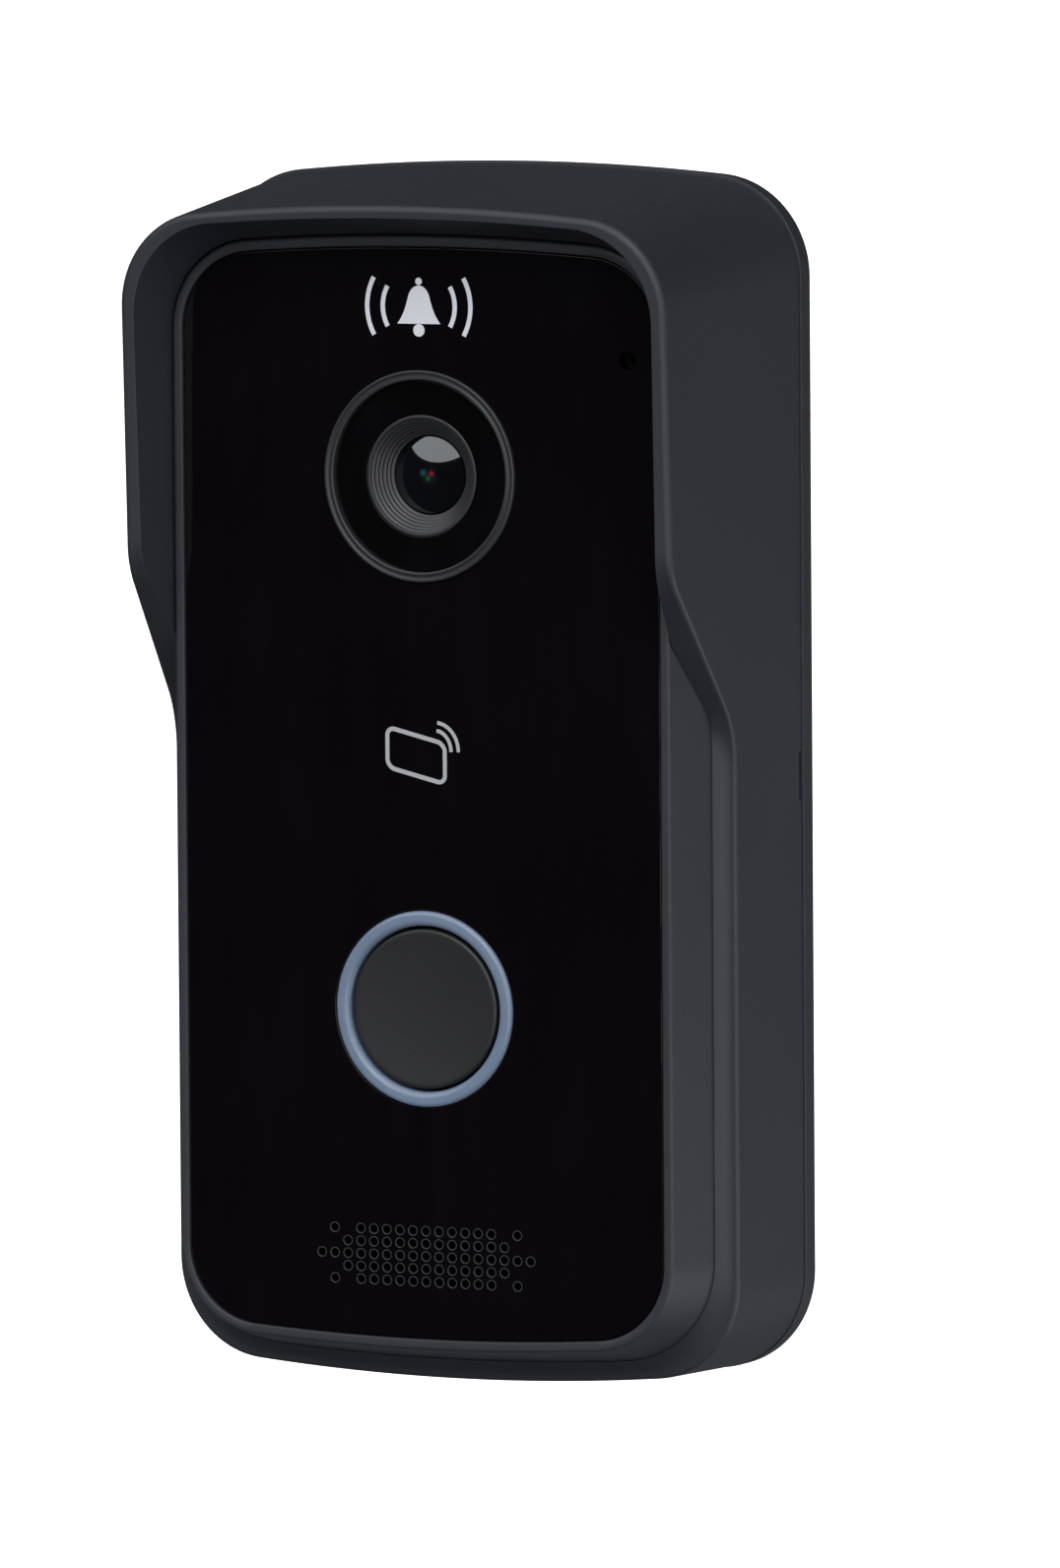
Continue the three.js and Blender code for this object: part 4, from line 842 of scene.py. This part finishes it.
def outer_shell():
    """Shell and visor as one closed ring swept round the unit.

    Each section starts at the rear face, rounds the rear edge, runs forward along the drafted
    wall, rounds the front edge, crosses the lip, whose depth rises with a power of the
    way across, and returns along the pocket's wall and the rear ledge.
    """
    rear = shell.rear
    rear_round, inner_round = 0.14, 0.05
    ledge_front = rear + LEDGE_THICKNESS
    outer = body_outline(0)
    front = settle(outer, drafted)
    pocket = unit_outline(-SLIP)
    pocket_front = settle(pocket, pocket_at)
    fade = np.clip((RISE_TOP - pocket[:, 1]) / (RISE_TOP - RISE_BOTTOM), 0, 1)
    rise = LIP_RISE * fade * fade * (3 - 2 * fade)
    inwards = body_outline(1) - outer
    front_round = 0.4 + 0.35 * np.clip((outer[:, 1] - SWEEP_BOTTOM) / SWEEP_TOP, 0, 1)

    rows = []
    for t in np.linspace(0, PI / 2, 4):
        inset = body_outline(rear_round * (1 - math.sin(t)))
        depth = rear + rear_round * (1 - math.cos(t))
        rows.append(at_depth(drafted(inset, depth), depth))
    wall_rear = rear + rear_round
    for share in np.linspace(0, 1, 14)[1:]:
        depth = wall_rear + share * (front - front_round - wall_rear)
        rows.append(at_depth(drafted(outer, depth), depth))
    for t in np.linspace(0, PI / 2, 6)[1:]:
        inset = outer + inwards * (front_round * (1 - math.cos(t)))[:, None]
        depth = front - front_round * (1 - math.sin(t))
        rows.append(at_depth(drafted(inset, depth), depth))
    crest = drafted(outer + inwards * front_round[:, None], front)
    edge = pocket_at(unit_outline(-SLIP - inner_round), pocket_front + rise)
    for share in np.linspace(0, 1, 14)[1:]:
        across = crest + share * (edge - crest)
        level = front + share * (pocket_front - front)
        rows.append(at_depth(across, level + rise * share ** 2.2))
    inner_front = pocket_front + rise - inner_round
    for share in np.linspace(0, 1, 26):
        depth = inner_front + share * (ledge_front - inner_front)
        rows.append(at_depth(pocket_at(pocket, depth), depth))
    ledge = unit_outline(LEDGE_WIDTH)
    rows.append(at_depth(ledge, ledge_front))
    rows.append(at_depth(ledge, rear))

    gap = 0.3
    tab_top = housing.bottom - SLIP - TAB_ROOF
    notch_bottom = tab_top - TAB_THICKNESS - gap
    notch_top = housing.bottom - SLIP + 1
    notch_front = BRACKET_THICKNESS + TAB_REACH + gap
    lock_depth = (lock.rear + lock.front) / 2
    head_radius = (lock.right - lock.left) / 2 + gap
    hole = np.array([
        (0, -HALF_HEIGHT - 1), (head_radius, -HALF_HEIGHT - 1),
        (head_radius, lock.bottom + 1.6), (1.6, lock.bottom + 1.6),
        (1.6, notch_bottom + 1), (0, notch_bottom + 1),
    ], float)
    slots = [
        block(x, 0, 8, PRY_SLOT_LENGTH, rear - 1, rear + PRY_SLOT_HEIGHT, 0.05)
        for x in (-HALF_WIDTH, HALF_WIDTH)
    ]
    notch = block(0, (notch_top + notch_bottom) / 2, TAB_WIDTH + 2 * gap,
                  notch_top - notch_bottom, rear - 1, notch_front, 0.05)
    piece("shell_with_visor", [(np.array(rows), True)], "shell_plastic", stands_for=["outer_shell"],
          cutters=[*slots, notch, upright(hole, 0, lock_depth)])


# ---------------------------------------------------------------- housing, panel and bracket


def grille_holes():
    """Centres of the speaker's holes: rows of 17, 13 and 11, the outer rows with one more
    hole set apart at each end."""
    holes = []
    for row, reach in ((-2, 5), (-1, 6), (0, 8), (1, 6), (2, 5)):
        columns = list(range(-reach, reach + 1))
        if abs(row) == 2:
            columns = [-7, *columns, 7]
        holes += [(column * HOLE_PITCH_X, GRILLE_Z + row * HOLE_PITCH_Z) for column in columns]
    return holes


def front_housing():
    """Housing: a tray with a raised bezel round the panel's recess, then posts and a well.

    Rows go from the middle of the floor's rear face out and back along the inside of the
    wall, round the rear edge, forward along the outside, over the rounded bezel, down the
    recess and in to the middle of the floor's front face.
    """
    floor_front = panel.rear - 0.3
    floor_rear = floor_front - HOUSING_WALL
    rear, front = housing.rear, housing.front
    bezel_round, recess_round = 0.3, 0.2
    inner = unit_outline(HOUSING_WALL)
    recess = unit_outline(BEZEL_RIM)
    middle = np.zeros_like(inner)
    rows = [at_depth(middle, floor_rear), at_depth(inner, floor_rear), at_depth(inner, rear),
            at_depth(unit_outline(0.2), rear)]
    for depth in np.append(np.linspace(rear + 0.2, SKIRT_REAR, 3),
                           np.linspace(LIP_DEPTH, front - bezel_round, 6)):
        rows.append(at_depth(unit_outline(-float(skirt(depth))), depth))
    for t in np.linspace(0, PI / 2, 5)[1:]:
        inset = bezel_round * (1 - math.cos(t)) - float(skirt(front - bezel_round)) * math.cos(t)
        rows.append(at_depth(unit_outline(inset), front - bezel_round * (1 - math.sin(t))))
    rows.append(at_depth(unit_outline(BEZEL_RIM - recess_round), front))
    rows.append(at_depth(unit_outline(BEZEL_RIM - 0.06), front - 0.06))
    rows.append(at_depth(recess, front - recess_round))
    rows += [at_depth(recess, floor_front), at_depth(middle, floor_front)]

    past = floor_front + 0.2
    before = floor_rear - 1
    cutters = [
        disc(TRIM_RADIUS - TRIM_WIDTH, trim.x, trim.z, before, past, 0.02, 96),
        disc(LIGHT_RING_RADIUS + PANEL_GAP, light_ring.x, light_ring.z, before, past, 0.02, 96),
        disc(MIC_PORT, MIC_X, MIC_Z, before, past, 0.02),
        block(0, cloth.z, cloth.right - cloth.left - 2, cloth.top - cloth.bottom - 2,
              before, past, 0.02),
        block(0, cloth.z, cloth.right - cloth.left + 0.6, cloth.top - cloth.bottom + 0.6,
              cloth.rear - 0.3, past, 0.02),
    ]
    well = LIGHT_RING_RADIUS + 1.9

    def tube(inside, outside, x, z, start, count=40):
        corners = [(inside, start), (outside, start), (outside, floor_rear), (inside, floor_rear)]
        return turned(np.array(corners, float), x, z, count=count)

    board_rear = main_board.front + 0.3
    posts = []
    for number in range(1, 5):
        screw = extent(f"board_screw_{number}")
        posts.append(tube(1.4, 2.8, screw.x, screw.z, board_rear))
        screw = extent(f"cover_screw_{number}")
        posts.append(tube(1.6, 3.0, screw.x, screw.z, housing.rear + 1.5))
    button_board = extent("button_board")
    posts.append(tube(well, well + 1.2, light_ring.x, light_ring.z, button_board.front + 0.3, 96))
    piece("housing_with_bezel", [(np.array(rows), False)], "shell_plastic",
          stands_for=["front_housing"], cutters=cutters, extras=posts)


def front_panel():
    """Gloss panel with its camera and button openings, microphone port and speaker holes.

    Each cutter widens at the face by a small chamfer, and each speaker hole has a pale ring
    round its edge, a painted highlight where the edge would catch the light.
    """
    front, rear = panel.front, panel.rear

    def bore(radius, x, z, chamfer, count):
        profile = np.array([
            (0, rear - 1), (radius, rear - 1), (radius, front - chamfer),
            (radius + chamfer + 0.5, front + 0.5), (0, front + 0.5),
        ])
        return turned(profile, x, z, closed=False, count=count)

    cutters = [bore(HOLE_RADIUS - 0.12, x, z, 0.04, 24) for x, z in grille_holes()]
    cutters.append(bore(MIC_PORT - 0.1, MIC_X, MIC_Z, 0.12, 48))
    cutters.append(bore(TRIM_RADIUS + PANEL_GAP - 0.08, trim.x, trim.z, 0.08, 128))
    cutters.append(bore(LIGHT_RING_RADIUS + PANEL_GAP - 0.08, light_ring.x, light_ring.z,
                        0.08, 128))
    # painted highlight: a thin pale ring at the face round each speaker hole
    edge = np.array([
        (HOLE_RADIUS - 0.09, front - 0.03), (HOLE_RADIUS + 0.01, front - 0.03),
        (HOLE_RADIUS + 0.01, front + 0.01), (HOLE_RADIUS - 0.09, front + 0.01),
    ])
    piece("speaker_hole_edges", [turned(edge, x, z, count=24) for x, z in grille_holes()],
          "hole_edge_highlight")
    outline = lambda inset: unit_outline(BEZEL_RIM + PANEL_GAP + inset, side=40)
    piece("gloss_front_panel", [plate(outline, rear, front, 0.12)], "panel_acrylic",
          stands_for=["front_panel"], cutters=cutters, smooth=30)


def wall_bracket():
    """Bracket: a plate with a cable window and four sunk holes, two hooks and a lock tab."""
    thickness = BRACKET_THICKNESS
    window_size, window_z = 30, -29
    hook_width, hook_rise, hook_reach, hook_thick = 8, 2.4, 4.4, 1.6
    tab_z = housing.bottom - SLIP - TAB_ROOF - TAB_THICKNESS / 2
    hole_x, hole_z, hole_radius, sink_radius = 20, 50, 2.3, 4.2
    outline = lambda inset: body_outline(inset, side=12)
    opening = lambda inset: rounded_rectangle(
        window_size - 2 * inset, window_size - 2 * inset, 4 - inset, 0, window_z)
    sink = np.array([
        (0, -1), (hole_radius, -1), (hole_radius, thickness - sink_radius + hole_radius),
        (sink_radius, thickness), (sink_radius, thickness + 1), (0, thickness + 1),
    ], float)
    cutters = [plate(opening, -1, thickness + 1, 0.02)]
    cutters += [turned(sink, x, z, closed=False, count=48)
                for x in (-hole_x, hole_x) for z in (-hole_z, hole_z)]
    cutters.append(disc(1.8, plunger.x, plunger.z, -1, thickness + 1, 0.02))
    extras = []
    for x in (-HOOK_X, HOOK_X):
        front = thickness + hook_reach
        extras.append(block(x, HOOK_Z, hook_width, hook_thick, 1, front))
        extras.append(block(x, HOOK_Z + hook_rise / 2, hook_width, hook_thick + hook_rise,
                            front - hook_thick, front))
    extras.append(block(0, tab_z, TAB_WIDTH, TAB_THICKNESS, 1, thickness + TAB_REACH))
    piece("wall_bracket_plate", [plate(outline, 0, thickness + 0.24, 0.1)], "shell_plastic",
          stands_for=["wall_bracket"], cutters=cutters, extras=extras)


def rear_parts():
    """Rear cover with its pockets and openings, the grommet and the terminal block."""
    room_width, room_height = 9, 7
    grommet_radius = (grommet.right - grommet.left) / 2
    outline = lambda inset: unit_outline(inset, side=12)
    boxes = [block(x, HOOK_Z, room_width + 2.2, room_height + 2.2, cover.rear + 1, cover.front,
                   0.2) for x in (-HOOK_X, HOOK_X)]
    cover_front = cover.rear + 2
    rooms = [block(x, HOOK_Z, room_width, room_height, cover.rear - 1, cover_front - 0.3, 0.2)
             for x in (-HOOK_X, HOOK_X)]
    cutters = [
        *rooms,
        block(0, terminal.z, terminal.right - terminal.left + 0.6,
              terminal.top - terminal.bottom + 0.6, cover.rear - 1, cover_front + 1, 0.05),
        disc(grommet_radius - 1, grommet.x, grommet.z, cover.rear - 1, cover_front + 1, 0.05),
        disc(2.95, plunger.x, plunger.z, cover.rear - 1, cover_front + 1, 0.02),
    ]
    for number in range(1, 5):
        screw = extent(f"cover_screw_{number}")
        cutters.append(disc(1.6, screw.x, screw.z, cover.rear - 1, cover_front + 1, 0.02))
        cutters.append(disc(2.9, screw.x, screw.z, cover.rear - 1, cover.rear + 1.2, 0.02))
    piece("rear_cover_plate", [plate(outline, cover.rear, cover_front, 0.25)], "shell_plastic",
          stands_for=["rear_cover"], cutters=cutters, extras=boxes)

    neck = grommet_radius - 1.3
    bore = 3.3
    lip = 0.25
    profile = rounded_path([
        (bore, grommet.rear, 0.4), (grommet_radius, grommet.rear, 0.4),
        (grommet_radius, cover.rear - 0.3, lip), (neck, cover.rear - 0.3, 0),
        (neck, cover_front + 0.3, 0), (grommet_radius, cover_front + 0.3, lip),
        (grommet_radius, grommet.front, 0.4), (bore, grommet.front, 0.4),
    ])
    piece("cable_grommet_ring", [turned(profile, grommet.x, grommet.z, count=72)], "rubber",
          stands_for=["cable_grommet"])


# ---------------------------------------------------------------- camera and call button


def shield_from(made, lamp_name):
    """Keeps one lamp's light off a piece, as a flag beside the set would."""
    shaded = bpy.data.collections.new(f"shielded from the {lamp_name}")
    shaded.objects.link(made)
    bpy.data.objects[lamp_name].light_linking.receiver_collection = shaded
    shaded.collection_objects[0].light_linking.link_state = "EXCLUDE"


def camera_parts():
    """Trim ring, window, stepped cone and front lens, all turned about the camera's axis."""
    x, z = trim.x, trim.z
    inner = TRIM_RADIUS - TRIM_WIDTH
    channel = 0.16
    ring = rounded_path([
        (inner, trim.rear, 0), (TRIM_RADIUS, trim.rear, 0),
        (TRIM_RADIUS, trim.front, 0.16), (TRIM_RADIUS - 0.3, trim.front, 0.06),
        (TRIM_RADIUS - 0.46, trim.front - channel, 0.06),
        (inner + 0.46, trim.front - channel, 0.06),
        (inner + 0.3, trim.front, 0.06), (inner, trim.front, 0.16),
    ], steps=5)
    piece("camera_trim", [turned(ring, x, z)], "trim_plastic", stands_for=["camera_trim_ring"])

    window_radius = (window.right - window.left) / 2
    hole = CONE_RADIUS + 0.05
    glass = rounded_path([
        (hole, window.rear, 0), (window_radius, window.rear, 0),
        (window_radius, window.front, 0.1), (hole, window.front, 0.03),
    ])
    piece("camera_window_ring", [turned(glass, x, z)], "window_acrylic",
          stands_for=["camera_window"])

    steps = 6
    mouth = CONE_RADIUS - 0.45
    seat = cone.rear + 0.8
    rise = (cone.front - seat) / steps
    run = (mouth - LENS_OPENING) / steps
    baffle = [(CONE_RADIUS, cone.front, 0.12), (mouth, cone.front, 0.12)]
    for i in reversed(range(steps)):
        inside = LENS_OPENING + run * i
        baffle.append((inside + run, seat + rise * (i + 0.2), 0.05))
        baffle.append((inside, seat + rise * i, 0.05))
    baffle += [(LENS_OPENING, cone.rear, 0), (CONE_RADIUS, cone.rear, 0)]
    piece("lens_baffle", [turned(rounded_path(baffle, steps=4), x, z, count=128)],
          "trim_plastic", stands_for=["lens_cone"])

    radius = (lens.right - lens.left) / 2
    curvature = 12
    apex = lens.front + 0.9
    t = np.linspace(0, math.asin(radius / curvature), 24)
    dome = np.stack([curvature * np.sin(t), apex - curvature * (1 - np.cos(t))], 1)
    sides = np.array([(radius, lens.rear), (0, lens.rear)])
    glass = piece("front_lens", [turned(np.concatenate([dome, sides]), x, z, closed=False)],
                  "lens_glass", stands_for=["lens_front_element"])
    shield_from(glass, "right softbox")


def button_parts():
    """Rounded light ring and slightly dished cap, turned about the button's axis."""
    x, z = light_ring.x, light_ring.z
    inner = LIGHT_RING_RADIUS - LIGHT_RING_WIDTH
    flange = (light_ring.right - light_ring.left) / 2
    flange_front = light_ring.rear + 1.2
    ring = rounded_path([
        (inner, light_ring.rear, 0), (flange, light_ring.rear, 0.1),
        (flange, flange_front, 0.1), (LIGHT_RING_RADIUS, flange_front, 0),
        (LIGHT_RING_RADIUS, light_ring.front, 0.55), (inner, light_ring.front, 0.75),
    ], steps=10)
    piece("lit_button_ring", [turned(ring, x, z)], "light_guide",
          stands_for=["button_light_ring"])

    radius = inner - CAP_CLEARANCE
    dish, edge = 0.3, 0.35
    flange = (cap.right - cap.left) / 2
    flange_rear = cap.front - CAP_FLANGE_DEPTH
    t = np.linspace(0, 1, 24, endpoint=False)
    face = np.stack([t * (radius - edge), cap.front - dish * (1 - t ** 2)], 1)
    rim = np.linspace(0, PI / 2, 8)
    shoulder = np.stack([
        radius - edge * (1 - np.sin(rim)), cap.front - edge * (1 - np.cos(rim))], 1)
    bore = radius - CAP_WALL
    roof = cap.front - edge - CAP_WALL
    flange_front = light_ring.rear - 0.3
    stem = extent("tact_switch_stem")
    inside = np.array([
        (radius, flange_front), (flange, flange_front), (flange, flange_rear), (bore, flange_rear),
        (bore, roof), (2.2, roof), (2.2, stem.front + 0.3), (0, stem.front + 0.3),
    ])
    piece("button_cap", [turned(np.concatenate([face, shoulder, inside]), x, z, closed=False)],
          "cap_plastic", body="call_button", stands_for=["call_button_cap"])


# ---------------------------------------------------------------- printed pictograms


def arc_path(x, z, wide, tall, start, stop, count=40):
    """Part of an ellipse about (x, z), between two angles in degrees."""
    t = np.radians(np.linspace(start, stop, count))
    return np.stack([x + wide * np.cos(t), z + tall * np.sin(t)], 1)


def card_pictogram():
    """Card seen at a slant with two waves at its corner: where a visitor holds a card."""
    x, z = -0.77, 2.9
    width, height, corner, slant, stroke = 7.35, 4.6, 0.95, -0.24, 0.5
    card = rounded_rectangle(width, height, corner, 0, 0, 10)
    card = np.stack([x + card[:, 0], z + card[:, 1] + slant * card[:, 0]], 1)
    parts = [loop_ribbon(card, stroke, panel.front)]
    for wide, tall in ((2.05, 2.4), (2.98, 3.32)):
        parts.append(ribbon(arc_path(1.66, 3.42, wide, tall, 0, 84), 0.42, panel.front))
    piece("card_pictogram", parts, "ink_grey")


def stamped(outline):
    """A filled printed shape on the panel."""
    return plate(lambda inset: outline, panel.front - INK_SUNK, panel.front + INK_RAISED, 0.001, 2)


def bell_pictogram():
    """A generic bell with a clapper and two sound waves on each side.

    The bell's half width is a bowl that flares at the lip: w = top + spread * t ** 2.6 with
    t from 0 at the crown to 1 at the lip, closed by a round crown.
    """
    x, z = 0, 54.3
    height, crown_half, lip_half = 4.4, 1.15, 2.5
    t = np.linspace(0, 1, 30)
    half = np.sqrt(np.clip(1 - (1 - np.clip(t * 3.2, 0, 1)) ** 2, 0, 1)) * crown_half
    half = half + (lip_half - crown_half) * t ** 2.6 + 0.25 * np.clip(t * 2, 0, 1)
    level = z + height * (0.55 - t)
    right = np.stack([x + half, level], 1)
    left = np.stack([x - half, level], 1)[::-1]
    parts = [
        stamped(np.concatenate([left, right])),
        stamped(circle(0.72, x, z - height * 0.45 - 0.75, 32)),
        stamped(circle(0.42, x, z + height * 0.55 + 0.45, 24)),
    ]
    for side in (0, 180):
        for radius in (4.6, 6.6):
            arc = arc_path(x, z, radius, radius, side - 30, side + 30)
            parts.append(ribbon(arc, 0.55, panel.front))
    piece("bell_pictogram", parts, "ink_white")


# ---------------------------------------------------------------- the whole object


def finish_carried_nodes():
    """Gives every CAD node the finish of its own slot."""
    for row in frame["record"]["subparts"]:
        node = frame["nodes"][row["node"]]
        material = finishes[row["material_slot"]]
        if not node.material_slots:
            node.data.materials.append(material)
        for place in node.material_slots:
            place.material = material


# ---------------------------------------------------------------- studio


def pale_floor():
    """A wide floor well below, white to the camera and duller to everything else."""
    half, drop = 60, 0.6
    level = cad_low[2] - drop
    corners = [(-half, -half, level), (half, -half, level), (half, half, level),
               (-half, half, level)]
    mesh = bpy.data.meshes.new("floor")
    mesh.from_pydata(corners, [], [(0, 1, 2, 3)])
    floor = new_object("floor", mesh)
    material, tree, shader, _ = start_finish("pale floor")
    shader.inputs["Roughness"].default_value = 0.9
    shader.inputs["Specular IOR Level"].default_value = 0.0
    seen = add_node(tree, "ShaderNodeLightPath").outputs["Is Camera Ray"]
    tree.links.new(blend_colours(tree, seen, (0.42, 0.42, 0.42, 1), (0.9, 0.9, 0.9, 1)),
                   shader.inputs["Base Color"])
    tree.links.new(blend_colours(tree, seen, (0.035, 0.035, 0.035, 1), (1, 1, 1, 1)),
                   shader.inputs["Emission Color"])
    shader.inputs["Emission Strength"].default_value = 1.0
    mesh.materials.append(material)
    floor.visible_glossy = False


def aim_back(lamp, towards):
    """Turns a lamp to shine from the direction given."""
    lamp.rotation_mode = "QUATERNION"
    lamp.rotation_quaternion = towards.to_track_quat("Z", "Y")


def low_white_card():
    """A lit card low on the right that brightens the side wall, most near its foot."""
    light = bpy.data.lights.new("low white card", "AREA")
    light.shape = "DISK"
    light.size = 0.3
    light.energy = 0.62
    card = new_object("low white card", light)
    card.location = (0.36, 0.04, -0.22)
    aim_back(card, card.location - Vector((0.03, 0, -0.05)))
    card.visible_camera = False


def softbox(name, azimuth, elevation, spread, strength):
    """A wide, far, soft light from a direction; angles in degrees, azimuth from the front."""
    light = bpy.data.lights.new(name, "SUN")
    light.energy = strength
    light.angle = math.radians(spread)
    a, e = math.radians(azimuth), math.radians(elevation)
    towards = Vector((math.sin(a) * math.cos(e), -math.cos(a) * math.cos(e), math.sin(e)))
    aim_back(new_object(name, light), towards)


def studio():
    """The floor, the surroundings and the three soft lights."""
    pale_floor()
    white_surroundings()
    low_white_card()
    softbox("right softbox", 32, 16, 84, 2.0)
    softbox("overhead softbox", -18, 50, 80, 1.9)
    bpy.context.scene.view_settings.view_transform = "Standard"


def white_surroundings():
    """White to the camera; for light, bright behind the object and up to the horizon, and
    dark in front of it, where the room is unlit."""
    world = bpy.data.worlds.new("studio")
    bpy.context.scene.world = world
    world.use_nodes = True
    tree = world.node_tree
    backdrop = tree.nodes["Background"]
    direction = add_node(tree, "ShaderNodeTexCoord").outputs["Generated"]
    parts = add_node(tree, "ShaderNodeSeparateXYZ", {0: direction})
    behind = add_node(tree, "ShaderNodeMapRange", {
        "Value": parts.outputs["Y"], "From Min": -0.1, "From Max": 0.5},
        interpolation_type="SMOOTHSTEP")
    low = add_node(tree, "ShaderNodeMapRange", {
        "Value": parts.outputs["Z"], "From Min": 0.3, "From Max": -0.05},
        interpolation_type="SMOOTHSTEP")
    both = add_node(tree, "ShaderNodeMath", {0: behind.outputs[0], 1: low.outputs[0]},
                    operation="MULTIPLY")
    glow = blend_colours(tree, both.outputs[0], (0.02, 0.02, 0.022, 1), (0.15, 0.154, 0.166, 1))
    seen = add_node(tree, "ShaderNodeLightPath").outputs["Is Camera Ray"]
    tree.links.new(blend_colours(tree, seen, glow, (1, 1, 1, 1)), backdrop.inputs["Color"])


def add_camera():
    """A long lens from the upper right, turned slightly about its own axis."""
    azimuth, elevation = math.radians(26.55), math.radians(4.694)
    roll = math.radians(-0.403)
    distance = 1727
    aside, above = 1.08, -2.277
    away = Vector((math.sin(azimuth) * math.cos(elevation),
                   -math.cos(azimuth) * math.cos(elevation), math.sin(elevation)))
    right = Vector((math.cos(azimuth), math.sin(azimuth), 0))
    up = away.cross(right)
    turn = Matrix((right, up, away)).transposed().to_4x4()
    lens_data = bpy.data.cameras.new("view")
    lens_data.sensor_width = 36
    lens_data.lens = 342.2
    lens_data.clip_start = 0.1
    lens_data.clip_end = 200
    view = new_object("view", lens_data)
    spot = (away * distance + right * aside + up * above) * MM
    view.matrix_world = Matrix.Translation(spot) @ turn @ Matrix.Rotation(roll, 4, "Z")
    bpy.context.scene.camera = view


add_camera()
studio()
finish_carried_nodes()
outer_shell()
front_housing()
front_panel()
wall_bracket()
rear_parts()
camera_parts()
button_parts()
card_pictogram()
bell_pictogram()
